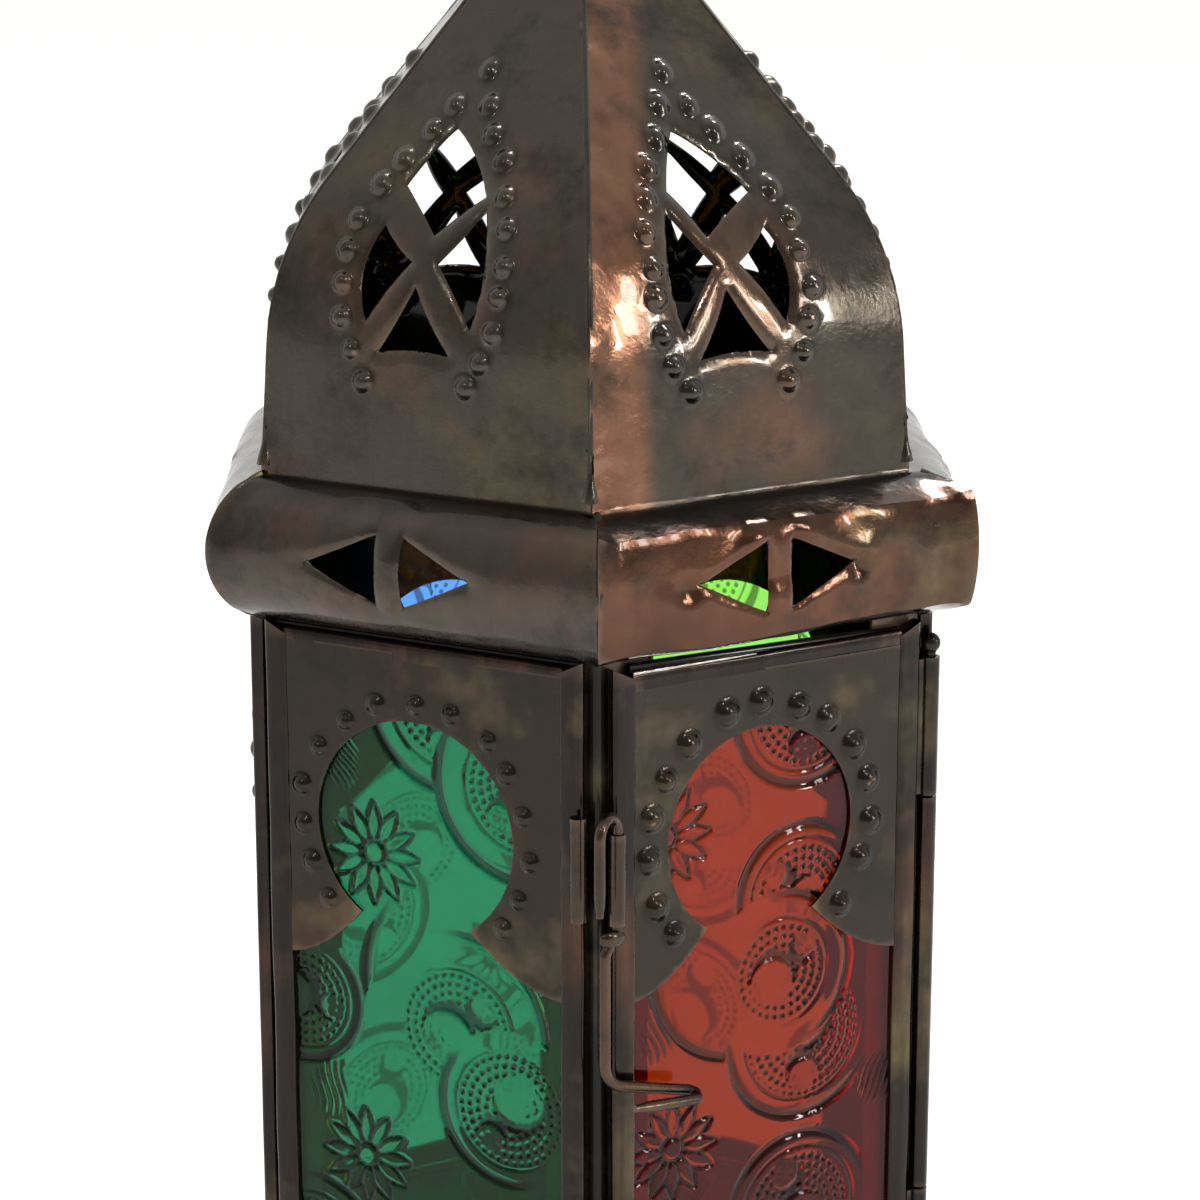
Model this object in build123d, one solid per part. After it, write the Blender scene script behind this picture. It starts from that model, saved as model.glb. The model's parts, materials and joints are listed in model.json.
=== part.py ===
"""A six-sided sheet-metal candle lantern with coloured glass, a hinged door and a hanging ring.

Frame: millimetres, +Z up, origin on the standing surface under the middle of the lantern.
A face is named by the direction of its outward normal and a corner by its own direction, both
in degrees counter-clockwise from +X. The front corner points along -Y and the door is the face
to its right. Every sheet profile is drawn as (distance from the axis, height).
"""
from build123d import *
import os
from math import cos, radians, sin

# ---- Driving dimensions ----
BELT_CORNER_RADIUS = 70.0       # widest point of the rolled belts, across a corner
SHEET = 0.6                     # thickness of roof and belt sheet
ROOF_BASE_Z = 176.0             # bottom edge of the roof, top of the upper belt
ROOF_TOP_Z = 258.5              # top edge of the roof sheets, under the cap
BELT_HEIGHT = 23.0              # both rolled belts
BASE_BELT_TOP_Z = 27.0          # top of the lower belt, where the body stands
FOOT_HEIGHT = 4.0
BODY_APOTHEM = 54.56            # outer face of the fixed side panels
PANEL_DEPTH = 2.6               # a panel frame from back to front
PANEL_HALF_WIDTH = 28.6
STRIP_WIDTH = 4.0               # the folded strip round each pane
TOP_STRIP_WIDTH = 3.4
DOOR_GAP = 0.3                  # between the closed door and the posts it stops on

# ---- Worked-out levels and distances ----
COS30 = cos(radians(30))
FAR = 120.0                     # longer than any half of the lantern's width
BELT_OUT = BELT_CORNER_RADIUS * COS30
BELT_SAGITTA = 8.1
BELT_EDGE = BELT_OUT - BELT_SAGITTA
BELT_FLANGE_IN = 49.2
UPPER_BELT_Z = ROOF_BASE_Z - BELT_HEIGHT
LOWER_BELT_Z = BASE_BELT_TOP_Z - BELT_HEIGHT
PANEL_BACK = BODY_APOTHEM - PANEL_DEPTH
POST_TOP_Z = UPPER_BELT_Z
PANEL_BOTTOM_Z = BASE_BELT_TOP_Z
PANEL_TOP_Z = UPPER_BELT_Z - 0.6
DOOR_BOTTOM_Z = BASE_BELT_TOP_Z + 1.0
DOOR_TOP_Z = ROOF_BASE_Z - 25.6
DOOR_BACK = PANEL_BACK + DOOR_GAP
DOOR_FRONT = DOOR_BACK + PANEL_DEPTH

FACES = {"front_left": 240, "door": 300, "right": 0, "back_right": 60, "back_left": 120, "left": 180}
CORNERS = {"front": 270, "right_front": 330, "right_back": 30, "back": 90,
           "left_back": 150, "left_front": 210}

# ---- Roof sheet ----
ROOF_EAVE = 51.0                # outer distance of the sheet at its bottom edge
ROOF_WALL_LEAN = 0.06           # inward lean of the lower, nearly upright part
ROOF_KNEE_Z = 34.8              # above the roof base, where wall and slope lines cross
ROOF_SLOPE = 0.816              # inward run of the upper part for each unit of rise
ROOF_KNEE_RADIUS = 44.0
WINDOW_OFFSET = -2.0            # the pierced windows sit a little left of the middle
CROSSING_Z = 34.0               # where the two crossing struts of a window meet

# ---- Panes ----
GROOVE_DEPTH = 2.0              # how far the pane runs into its frame
GROOVE_LIP = 0.5                # sheet left in front of and behind the groove
GLASS_THICK = 1.0
MASK_THICK = 0.5
PANE_PLAY = 0.2
KEYHOLE_RADIUS = 17.2
KEYHOLE_OFFSET = -1.5
KEYHOLE_Z = ROOF_BASE_Z - 53.8
NECK_HALF_WIDTH = 9.9
NECK_Z = ROOF_BASE_Z - 68.0
SHOULDER_Z = ROOF_BASE_Z - 78.0
SHOULDER_HOLLOW = 2.0

# ---- Door hinge ----
HINGE_CORNER_RADIUS = 62.2
HINGE_TUBE_RADIUS = 1.55
HINGE_PIN_RADIUS = 0.9
RUNNING_FIT = 0.06              # radial clearance of a turning wire in its tube
HINGE_TUBE_Z = (ROOF_BASE_Z - 144.0, ROOF_BASE_Z - 120.9, ROOF_BASE_Z - 53.1, ROOF_BASE_Z - 29.8)
HINGE_END_GAP = 0.3
HINGE_BALL_RADIUS = 1.7
HINGE_LEAF_THICK = 0.8

# ---- Latch ----
WIRE_RADIUS = 0.9
LATCH_TUBE_RADIUS = 1.35
LATCH_DOOR_U = -29.0
LATCH_FRAME_U = 28.8
LATCH_HOOK_HEADING = 240        # which way the hook's free leg points at rest
LATCH_HOOK_SPACING = 5.7        # free leg to tube axis
DOOR_TUBE_Z = (ROOF_BASE_Z - 63.4, ROOF_BASE_Z - 48.8)
FRAME_TUBE_Z = (ROOF_BASE_Z - 62.9, ROOF_BASE_Z - 46.3)
HOOK_LEG_BOTTOM_Z = ROOF_BASE_Z - 60.5

# ---- Top, base and cup ----
CAP_BOTTOM_Z = 256.0
CAP_BOTTOM_RADIUS = 15.5
CAP_TOP_Z = 267.5
CAP_TOP_RADIUS = 5.5
FINIAL_TOP_Z = 278.6
EYE_RADIUS = 3.4
EYE_WIRE_RADIUS = 0.9
EYE_Z = 284.0
RING_RADIUS = 19.0
RING_WIRE_RADIUS = 1.4
RING_LEAN = 57                  # degrees below level, resting back on the roof
FLOOR_THICK = 0.6
CUP_RADIUS = 21.0               # takes a common tealight
CUP_HEIGHT = 16.0
CUP_SHEET = 0.8
CUP_RIM_RADIUS = 0.9
FOOT_RADIUS = 4.5
FOOT_CORNER_RADIUS = 56.5


def plan(distance, direction):
    """The (x, y) of a point at a distance from the axis, in a direction in degrees."""
    return distance * cos(radians(direction)), distance * sin(radians(direction))


def on_face(u, distance, normal):
    """The (x, y) of a point u to the right of a face's middle, seen from outside."""
    out_x, out_y = plan(distance, normal)
    side_x, side_y = plan(u, normal + 90)
    return out_x + side_x, out_y + side_y


def face_plane(normal, distance=0.0):
    """A sketch plane upright on a face: x to the right seen from outside, y up, z outwards."""
    return Plane(origin=(*plan(distance, normal), 0), x_dir=(*plan(1, normal + 90), 0),
                 z_dir=(*plan(1, normal), 0))


def wedge(direction, half_angle=30.0, bottom_z=0.0):
    """A tall prism from the axis outwards, between two directions."""
    far = FAR / cos(radians(half_angle))
    outline = Polyline((0, 0), plan(far, direction - half_angle), plan(far, direction + half_angle),
                       close=True)
    return Pos(0, 0, bottom_z) * extrude(make_face(outline), 3 * FAR)


def folded_sheet(outer_line, normal, bottom_z):
    """Give a (distance, height) line the sheet's thickness on its inner side, which is its left,
    and run it along one face, mitred at the corners and cut level at the bottom."""
    section = make_face(outer_line.wire().offset_2d(SHEET, side=Side.LEFT, closed=True))
    across = Plane(origin=(*plan(FAR / 2, normal + 90), 0), x_dir=(*plan(1, normal), 0),
                   z_dir=(*plan(1, normal - 90), 0))
    return extrude(across * section, FAR) & wedge(normal, bottom_z=bottom_z)


def face_box(normal, u_range, distance_range, z_range):
    """A box on a face, given by its ranges across, outwards and up."""
    sketch = Pos(sum(u_range) / 2, sum(z_range) / 2) * Rectangle(
        u_range[1] - u_range[0], z_range[1] - z_range[0])
    return extrude(face_plane(normal, distance_range[0]) * sketch,
                   distance_range[1] - distance_range[0])


def upright_tube(x, y, z_range, radius, bore):
    height = z_range[1] - z_range[0]
    tube = Cylinder(radius, height, align=(Align.CENTER, Align.CENTER, Align.MIN))
    hole = Cylinder(bore, height, align=(Align.CENTER, Align.CENTER, Align.MIN))
    return Pos(x, y, z_range[0]) * (tube - hole)


# ---- Belts and roof ----

def belt(normal, bottom_z):
    """One side of a half-round rolled belt, with a flat flange turned in at top and bottom."""
    top_z = bottom_z + BELT_HEIGHT
    line = (Line((BELT_FLANGE_IN, bottom_z), (BELT_EDGE, bottom_z))
            + ThreePointArc((BELT_EDGE, bottom_z), (BELT_OUT, (bottom_z + top_z) / 2),
                            (BELT_EDGE, top_z))
            + Line((BELT_EDGE, top_z), (BELT_FLANGE_IN, top_z)))
    return folded_sheet(line, normal, bottom_z)


def pierce(sheet, normal, outlines):
    """Cut outlines, given as (across, height) points, straight through one side of the lantern."""
    for outline in outlines:
        hole = make_face(Polyline(*outline, close=True))
        sheet = sheet - extrude(face_plane(normal) * hole, FAR)
    return sheet


def belt_holes(middle_z, middle_u=-2.3, half_length=14.4, half_height=5.7, strut=4.9):
    """A lozenge split in two by an upright strut."""
    for side in (-1, 1):
        yield [(middle_u + side * strut / 2, middle_z + half_height),
               (middle_u + side * strut / 2, middle_z - half_height),
               (middle_u + side * half_length, middle_z)]


def roof_line():
    """The sheet's outer line: nearly upright, a soft knee, then a straight slope."""
    knee = (ROOF_EAVE - ROOF_WALL_LEAN * ROOF_KNEE_Z, ROOF_BASE_Z + ROOF_KNEE_Z)
    rise = ROOF_TOP_Z - knee[1]
    return FilletPolyline((ROOF_EAVE, ROOF_BASE_Z - SHEET), knee, (knee[0] - ROOF_SLOPE * rise, ROOF_TOP_Z),
                          radius=ROOF_KNEE_RADIUS)


def window_holes():
    """The openings of one window: a kite above, a lens at each side and a triangle below."""
    kite = [(0, 20), (-7, 11.5), (0, 4), (7, 11.5)]
    triangle = [(0, -4), (-6, -13.2), (6, -13.2)]
    holes = [kite, triangle]
    for side in (-1, 1):
        holes.append([(side * 8.6, 5.2), (side * 3.2, -0.4), (side * 8.4, -9), (side * 9.9, -2)])
    for hole in holes:
        yield [(u + WINDOW_OFFSET, z + ROOF_BASE_Z + CROSSING_Z) for u, z in hole]


def roof_petal(normal):
    return pierce(folded_sheet(roof_line(), normal, ROOF_BASE_Z), normal, window_holes())


# ---- Body ----

def post(corner):
    """A strip bent to the corner's angle, behind the edges of the two panels beside it."""
    outer = RegularPolygon(PANEL_BACK, 6, major_radius=False, rotation=30)
    inner = RegularPolygon(PANEL_BACK - SHEET, 6, major_radius=False, rotation=30)
    ring = extrude(outer - inner, POST_TOP_Z - BASE_BELT_TOP_Z)
    return (Pos(0, 0, BASE_BELT_TOP_Z) * ring) & wedge(corner, half_angle=8.5)


def panel_frame(normal, back, z_range):
    """Folded strips round a pane, with a groove inside that holds the glass and the mask."""
    half = PANEL_HALF_WIDTH
    window = half - STRIP_WIDTH
    frame = face_box(normal, (-half, half), (back, back + PANEL_DEPTH), z_range)
    inner_z = (z_range[0] + STRIP_WIDTH, z_range[1] - TOP_STRIP_WIDTH)
    frame -= face_box(normal, (-window, window), (back, back + PANEL_DEPTH), inner_z)
    groove_half = window + GROOVE_DEPTH
    groove_z = (inner_z[0] - GROOVE_DEPTH, inner_z[1] + GROOVE_DEPTH)
    groove = face_box(normal, (-groove_half, groove_half),
                      (back + GROOVE_LIP, back + PANEL_DEPTH - GROOVE_LIP), groove_z)
    return frame - groove


def pane_edges(z_range):
    """Half width and height range of whatever sits in a panel's groove."""
    half = PANEL_HALF_WIDTH - STRIP_WIDTH + GROOVE_DEPTH - PANE_PLAY
    low = z_range[0] + STRIP_WIDTH - GROOVE_DEPTH + PANE_PLAY
    high = z_range[1] - TOP_STRIP_WIDTH + GROOVE_DEPTH - PANE_PLAY
    return half, (low, high)


def glass(normal, back, z_range):
    half, edges = pane_edges(z_range)
    start = back + GROOVE_LIP
    return face_box(normal, (-half, half), (start, start + GLASS_THICK), edges)


def keyhole_face():
    """A round head on a neck that spreads in two curved shoulders to the full width."""
    head = Pos(KEYHOLE_OFFSET, KEYHOLE_Z) * Circle(KEYHOLE_RADIUS)
    half, low = PANEL_HALF_WIDTH, SHOULDER_Z - 0.01
    hollow = (SHOULDER_Z + NECK_Z) / 2 - SHOULDER_HOLLOW
    neck_left, neck_right = KEYHOLE_OFFSET - NECK_HALF_WIDTH, KEYHOLE_OFFSET + NECK_HALF_WIDTH
    body = (Line((-half, low), (half, low))
            + ThreePointArc((half, low), ((half + neck_right) / 2, hollow), (neck_right, NECK_Z))
            + Line((neck_right, NECK_Z), (neck_left, NECK_Z))
            + ThreePointArc((neck_left, NECK_Z), ((neck_left - half) / 2, hollow), (-half, low)))
    return head + make_face(body)


def mask(normal, back, z_range):
    """The sheet in front of the glass, with the keyhole cut out of it."""
    half, edges = pane_edges(z_range)
    start = back + GROOVE_LIP + GLASS_THICK + 0.05
    plate = face_box(normal, (-half, half), (start, start + MASK_THICK), (SHOULDER_Z, edges[1]))
    return plate - extrude(face_plane(normal, start) * keyhole_face(), MASK_THICK)


# ---- Door hinge ----

HINGE_X, HINGE_Y = plan(HINGE_CORNER_RADIUS, CORNERS["right_front"])
HINGE_APOTHEM = HINGE_CORNER_RADIUS * COS30
HINGE_U = HINGE_CORNER_RADIUS / 2


def hinge_tube(level, leaf_face, leaf_side):
    """A tube of the hinge, with a leaf that joins it to the panel beside it."""
    low, high = HINGE_TUBE_Z[level] + HINGE_END_GAP / 2, HINGE_TUBE_Z[level + 1] - HINGE_END_GAP / 2
    bore = HINGE_PIN_RADIUS + RUNNING_FIT
    tube = upright_tube(HINGE_X, HINGE_Y, (low, high), HINGE_TUBE_RADIUS, bore)
    near, far = PANEL_HALF_WIDTH, HINGE_U - bore - 0.1
    reach = sorted((leaf_side * near, leaf_side * far))
    thickness = (HINGE_APOTHEM - HINGE_LEAF_THICK / 2, HINGE_APOTHEM + HINGE_LEAF_THICK / 2)
    leaf = face_box(FACES[leaf_face], reach, thickness, (low, high))
    return tube + leaf


def hinge_pin():
    """A wire through the three tubes, with a ball of solder closing its top end."""
    length = HINGE_TUBE_Z[3] - HINGE_TUBE_Z[0] + 1.0
    pin = Cylinder(HINGE_PIN_RADIUS, length, align=(Align.CENTER, Align.CENTER, Align.MIN))
    ball = Pos(0, 0, length + HINGE_BALL_RADIUS * 0.8) * Sphere(HINGE_BALL_RADIUS)
    return Pos(HINGE_X, HINGE_Y, HINGE_TUBE_Z[0] - 0.4) * (pin + ball)


# ---- Latch ----

LATCH_DOOR_OUT = DOOR_FRONT + LATCH_TUBE_RADIUS
LATCH_FRAME_OUT = BODY_APOTHEM + LATCH_TUBE_RADIUS


def latch_tube(face, u, out, surface, z_range):
    """A short tube beside the gap, on a bead of solder that holds it to its panel."""
    x, y = on_face(u, out, FACES[face])
    bore = WIRE_RADIUS + RUNNING_FIT
    inner_edge = u - 1.2 if u > 0 else u + 1.2
    bead = face_box(FACES[face], sorted((u, inner_edge)), (surface, out - bore - 0.1), z_range)
    on_panel = bead & face_box(FACES[face], (-PANEL_HALF_WIDTH, PANEL_HALF_WIDTH), (surface, out),
                               z_range)
    return upright_tube(x, y, z_range, LATCH_TUBE_RADIUS, bore) + on_panel


def latch_wire():
    """One wire: a free hook leg, over the tube's top, down through it and out to a finger loop."""
    hook_u = LATCH_HOOK_SPACING * cos(radians(LATCH_HOOK_HEADING - 30))
    hook_out = LATCH_HOOK_SPACING * cos(radians(LATCH_HOOK_HEADING - 300))
    bend_z = DOOR_TUBE_Z[1] + 0.4
    below = DOOR_TUBE_Z[0] - 0.9
    handle_u, handle_out = -2.6, 0.6
    turns = [(0, 0, below), (handle_u, handle_out, below - 3.2), (handle_u, handle_out, 87.2),
             (12.6, 0.7, 83.2), (13.4, 1.6, 82.9), (12.9, 3.0, 82.5), (1.2, 3.3, 83.4)]

    def place(u, out, z):
        return (*on_face(LATCH_DOOR_U + u, LATCH_DOOR_OUT + out, FACES["door"]), z)

    top = bend_z + LATCH_HOOK_SPACING / 2
    hook = (Line(place(hook_u, hook_out, HOOK_LEG_BOTTOM_Z), place(hook_u, hook_out, bend_z))
            + ThreePointArc(place(hook_u, hook_out, bend_z), place(hook_u / 2, hook_out / 2, top),
                            place(0, 0, bend_z)))
    handle = FilletPolyline(place(0, 0, bend_z), *[place(*point) for point in turns],
                            radius=[1.6, 1.6, 4.5, 0.4, 0.5, 0.5][:len(turns) - 1])
    path = hook + handle
    start = Plane(origin=path @ 0, z_dir=path % 0)
    return sweep(start * Circle(WIRE_RADIUS), path=path)


# ---- Top ----

def roof_cap():
    """A cone of sheet over the tips of the roof sheets."""
    line = Polyline((CAP_BOTTOM_RADIUS, CAP_BOTTOM_Z), (CAP_TOP_RADIUS, CAP_TOP_Z), (0, CAP_TOP_Z))
    inner = Polyline((0, CAP_TOP_Z - CUP_SHEET), (CAP_TOP_RADIUS - 0.35, CAP_TOP_Z - CUP_SHEET),
                     (CAP_BOTTOM_RADIUS - 1.05, CAP_BOTTOM_Z))
    outline = line + Line(line @ 1, inner @ 0) + inner + Line(inner @ 1, line @ 0)
    return revolve(Plane.XZ * make_face(outline), Axis.Z)


def finial():
    """A turned knob: a foot on the cap, a waist and a ball with a flat top for the eye."""
    ball_z, ball_radius = CAP_TOP_Z + 6.9, 5.3
    foot = Pos(0, 0, CAP_TOP_Z) * Cone(4.8, 3.0, 2.4, align=(Align.CENTER, Align.CENTER, Align.MIN))
    ball = Pos(0, 0, ball_z) * Sphere(ball_radius)
    above = Pos(0, 0, FINIAL_TOP_Z) * Box(20, 20, 10, align=(Align.CENTER, Align.CENTER, Align.MIN))
    below = Pos(0, 0, CAP_TOP_Z) * Box(20, 20, 10, align=(Align.CENTER, Align.CENTER, Align.MAX))
    return foot + ball - above - below


def ring_eye():
    """A small closed eye of wire standing on the finial, open along X."""
    stem = Pos(0, 0, FINIAL_TOP_Z) * Cylinder(1.6, 2.4, align=(Align.CENTER, Align.CENTER, Align.MIN))
    return stem + Pos(0, 0, EYE_Z) * (Rot(0, 90, 0) * Torus(EYE_RADIUS, EYE_WIRE_RADIUS))


def hanging_ring():
    """The wire ring, lying back on the roof's rear ridge, its wire through the eye's middle."""
    centre = Pos(0, RING_RADIUS * cos(radians(RING_LEAN)), EYE_Z - RING_RADIUS * sin(radians(RING_LEAN)))
    return centre * (Rot(-RING_LEAN, 0, 0) * Torus(RING_RADIUS, RING_WIRE_RADIUS))


# ---- Base ----

def floor_plate():
    """The floor the candle cup stands on, held under the lower belt's top flange."""
    apothem = BELT_EDGE - SHEET - 0.4
    hexagon = RegularPolygon(apothem, 6, major_radius=False, rotation=30)
    return Pos(0, 0, BASE_BELT_TOP_Z - SHEET - FLOOR_THICK) * extrude(hexagon, FLOOR_THICK)


def feet():
    """Six small domed feet under the corners of the lower belt."""
    corner_feet = []
    for corner in CORNERS.values():
        dome = Cylinder(FOOT_RADIUS, FOOT_HEIGHT, align=(Align.CENTER, Align.CENTER, Align.MIN))
        dome = fillet(dome.edges().group_by(Axis.Z)[0], 2.0)
        corner_feet.append(Pos(*plan(FOOT_CORNER_RADIUS, corner), 0) * dome)
    return Compound(children=corner_feet)


def candle_cup():
    """A straight cup with a rolled rim, standing on the middle of the floor."""
    floor_z = BASE_BELT_TOP_Z - SHEET
    cup = Cylinder(CUP_RADIUS, CUP_HEIGHT, align=(Align.CENTER, Align.CENTER, Align.MIN))
    cup -= Pos(0, 0, CUP_SHEET) * Cylinder(CUP_RADIUS - CUP_SHEET, CUP_HEIGHT,
                                          align=(Align.CENTER, Align.CENTER, Align.MIN))
    rim = Pos(0, 0, CUP_HEIGHT) * Torus(CUP_RADIUS + 0.3, CUP_RIM_RADIUS)
    return Pos(0, 0, floor_z) * (cup + rim)


def build_parts():
    parts = {"floor_plate": floor_plate(), "feet": feet(), "candle_cup": candle_cup(),
             "roof_cap": roof_cap(), "finial": finial(), "ring_eye": ring_eye(),
             "hanging_ring": hanging_ring()}
    for name, normal in FACES.items():
        side = "front_right" if name == "door" else name
        parts[f"base_belt_{side}"] = belt(normal, LOWER_BELT_Z)
        parts[f"belt_{side}"] = pierce(belt(normal, UPPER_BELT_Z), normal,
                                       belt_holes(UPPER_BELT_Z + BELT_HEIGHT / 2 + 0.7))
        parts[f"roof_{side}"] = roof_petal(normal)
        is_door = name == "door"
        back = DOOR_BACK if is_door else PANEL_BACK
        z_range = (DOOR_BOTTOM_Z, DOOR_TOP_Z) if is_door else (PANEL_BOTTOM_Z, PANEL_TOP_Z)
        parts[f"{name}_frame"] = panel_frame(normal, back, z_range)
        parts[f"{name}_glass"] = glass(normal, back, z_range)
        parts[f"{name}_mask"] = mask(normal, back, z_range)
    for name, corner in CORNERS.items():
        parts[f"post_{name}"] = post(corner)
    parts["hinge_tube_lower"] = hinge_tube(0, "door", 1)
    parts["hinge_tube_middle"] = hinge_tube(1, "right", -1)
    parts["hinge_tube_upper"] = hinge_tube(2, "door", 1)
    parts["hinge_pin"] = hinge_pin()
    parts["latch_tube_door"] = latch_tube("door", LATCH_DOOR_U, LATCH_DOOR_OUT, DOOR_FRONT, DOOR_TUBE_Z)
    parts["latch_tube_frame"] = latch_tube("front_left", LATCH_FRAME_U, LATCH_FRAME_OUT, BODY_APOTHEM,
                                           FRAME_TUBE_Z)
    parts["latch_wire"] = latch_wire()
    return parts


os.makedirs("parts", exist_ok=True)
for part_name, solid in build_parts().items():
    export_step(solid, f"parts/{part_name}.step")
    print(part_name, round(solid.volume, 1))
print("hinge axis", round(HINGE_X, 4), round(HINGE_Y, 4))
print("latch axis", [round(v, 4) for v in on_face(LATCH_DOOR_U, LATCH_DOOR_OUT, FACES["door"])])
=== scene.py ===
"""Looks for the candle lantern: dented, lacquered sheet metal and pressed coloured glass.

Lengths are in metres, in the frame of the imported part. A face is named by its outward normal in
degrees, u runs to the right across it seen from outside, and d is the distance from the axis.
"""
import json
import math
import random

import bmesh
import bpy
import numpy as np
from mathutils import Matrix, Vector, noise
from mathutils.geometry import delaunay_2d_cdt


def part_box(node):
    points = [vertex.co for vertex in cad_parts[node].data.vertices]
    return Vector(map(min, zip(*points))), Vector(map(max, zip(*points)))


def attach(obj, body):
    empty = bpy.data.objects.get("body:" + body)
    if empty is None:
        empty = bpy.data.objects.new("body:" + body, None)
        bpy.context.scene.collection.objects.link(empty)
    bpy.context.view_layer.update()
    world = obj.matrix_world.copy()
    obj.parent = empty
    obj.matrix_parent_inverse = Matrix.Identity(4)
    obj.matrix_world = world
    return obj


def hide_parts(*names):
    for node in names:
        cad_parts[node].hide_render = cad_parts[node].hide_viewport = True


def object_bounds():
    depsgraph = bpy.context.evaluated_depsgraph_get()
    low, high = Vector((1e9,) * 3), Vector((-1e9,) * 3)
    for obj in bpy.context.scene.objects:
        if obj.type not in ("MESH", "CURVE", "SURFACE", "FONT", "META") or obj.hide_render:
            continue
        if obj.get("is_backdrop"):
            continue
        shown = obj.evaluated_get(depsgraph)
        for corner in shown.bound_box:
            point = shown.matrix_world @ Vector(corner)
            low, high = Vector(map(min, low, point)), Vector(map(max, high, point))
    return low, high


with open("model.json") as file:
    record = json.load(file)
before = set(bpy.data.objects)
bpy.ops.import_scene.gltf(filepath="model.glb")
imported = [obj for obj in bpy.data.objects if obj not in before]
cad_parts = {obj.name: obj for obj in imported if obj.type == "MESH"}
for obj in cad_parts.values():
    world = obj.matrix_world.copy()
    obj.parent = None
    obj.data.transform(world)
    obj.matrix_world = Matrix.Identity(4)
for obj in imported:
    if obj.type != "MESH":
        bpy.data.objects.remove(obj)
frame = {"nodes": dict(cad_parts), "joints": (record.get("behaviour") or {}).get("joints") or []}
cad_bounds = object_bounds()

MM = 0.001
COS30, TAN30 = math.cos(math.radians(30)), math.tan(math.radians(30))
FACES = {"front_left": 240, "front_right": 300, "right": 0, "back_right": 60, "back_left": 120,
         "left": 180}
CORNERS = {"front": 270, "right_front": 330, "right_back": 30, "back": 90, "left_back": 150,
           "left_front": 210}
DOOR_FACE = FACES["front_right"]
SHEET = 0.6 * MM


# ---- Measures read from the frame ----

def directions(normal):
    """The outward and the rightward direction of a face."""
    angle = math.radians(normal)
    out = Vector((math.cos(angle), math.sin(angle), 0))
    return out, Vector((-out.y, out.x, 0))


def spans(node, normal):
    """The (low, high) ranges of a CAD node across, away from the axis and up."""
    out, side = directions(normal)
    points = [vertex.co for vertex in frame["nodes"][node].data.vertices]
    across = [point.dot(side) for point in points]
    away = [point.dot(out) for point in points]
    up = [point.z for point in points]
    return [(min(values), max(values)) for values in (across, away, up)]


(_, ROOF_EAVE), (ROOF_Z, ROOF_TOP) = spans("roof_left", FACES["left"])[1:]
BELT_AWAY, BELT_UP = spans("belt_left", FACES["left"])[1:]
BASE_UP = spans("base_belt_left", FACES["left"])[2]
JOINTS = {joint["name"]: Vector(joint["pos_m"]) for joint in frame["joints"]}
HINGE, LATCH, EYE = JOINTS["door_hinge"], JOINTS["latch_turn"], JOINTS["ring_swing"]


# ---- Mesh tools ----

class Shape:
    """Collects points and faces, then becomes one object."""

    def __init__(self):
        self.points = []
        self.faces = []

    def add(self, points, faces):
        start = len(self.points)
        self.points += [Vector(point) for point in points]
        self.faces += [tuple(start + index for index in face) for face in faces]

    def loft(self, sections, closed=False):
        """Skin a row of equal closed loops, capped at both ends unless the row closes on itself."""
        count = len(sections[0])
        points = [point for section in sections for point in section]
        faces = []
        rows = len(sections)
        for row in range(rows if closed else rows - 1):
            below, above = row * count, (row + 1) % rows * count
            for k in range(count):
                right = (k + 1) % count
                faces.append((below + k, below + right, above + right, above + k))
        if not closed:
            faces.append(tuple(reversed(range(count))))
            faces.append(tuple(range((rows - 1) * count, rows * count)))
        self.add(points, faces)

    def revolve(self, profile, centre=(0, 0, 0), turns=48, wobble=0.0, seed=0.0):
        """Turn a (radius, height) line about Z. A radius of zero closes the line on the axis."""
        centre = Vector(centre)
        rings, points, faces = [], [], []
        for radius, height in profile:
            if radius < 1e-7:
                rings.append([len(points)])
                points.append(centre + Vector((0, 0, height)))
                continue
            rings.append(list(range(len(points), len(points) + turns)))
            for k in range(turns):
                angle = 2 * math.pi * k / turns
                spot = Vector((math.cos(angle), math.sin(angle), 0))
                uneven = wobble * noise.noise(spot * 1.3 + Vector((0, 0, height * 90 + seed)))
                points.append(centre + spot * (radius + uneven) + Vector((0, 0, height)))
        for low, high in zip(rings, rings[1:]):
            for k in range(turns):
                near, far = k, (k + 1) % turns
                corners = [low[near % len(low)], low[far % len(low)], high[far % len(high)],
                           high[near % len(high)]]
                faces.append(tuple(dict.fromkeys(corners)))
        self.add(points, faces)

    def tube(self, path, radius, sides=16, closed=False):
        """A round wire along a row of points. radius is a number or a function of the share of
        the way along."""
        count = len(path)
        tangents = []
        for k, point in enumerate(path):
            after = path[(k + 1) % count] if closed or k < count - 1 else point
            before = path[k - 1] if closed or k else point
            tangents.append((after - before).normalized())
        across = tangents[0].orthogonal().normalized()
        sections = []
        for k, (point, tangent) in enumerate(zip(path, tangents)):
            across = (across - tangent * across.dot(tangent)).normalized()
            other = tangent.cross(across)
            size = radius(k / (count - 1)) if callable(radius) else radius
            sections.append([point + (across * math.cos(angle) + other * math.sin(angle)) * size
                             for angle in (2 * math.pi * j / sides for j in range(sides))])
        self.loft(sections, closed)

    def object(self, name, material, body, replaced=(), crease=35):
        """Make the object, shade it, and hang it on its body."""
        mesh = bpy.data.meshes.new(name)
        mesh.from_pydata([tuple(point) for point in self.points], [], self.faces)
        cleaned = bmesh.new()
        cleaned.from_mesh(mesh)
        bmesh.ops.remove_doubles(cleaned, verts=cleaned.verts, dist=1e-7)
        bmesh.ops.recalc_face_normals(cleaned, faces=cleaned.faces)
        cleaned.to_mesh(mesh)
        cleaned.free()
        piece = bpy.data.objects.new(name, mesh)
        return settle(piece, material, body, replaced, crease)


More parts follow.
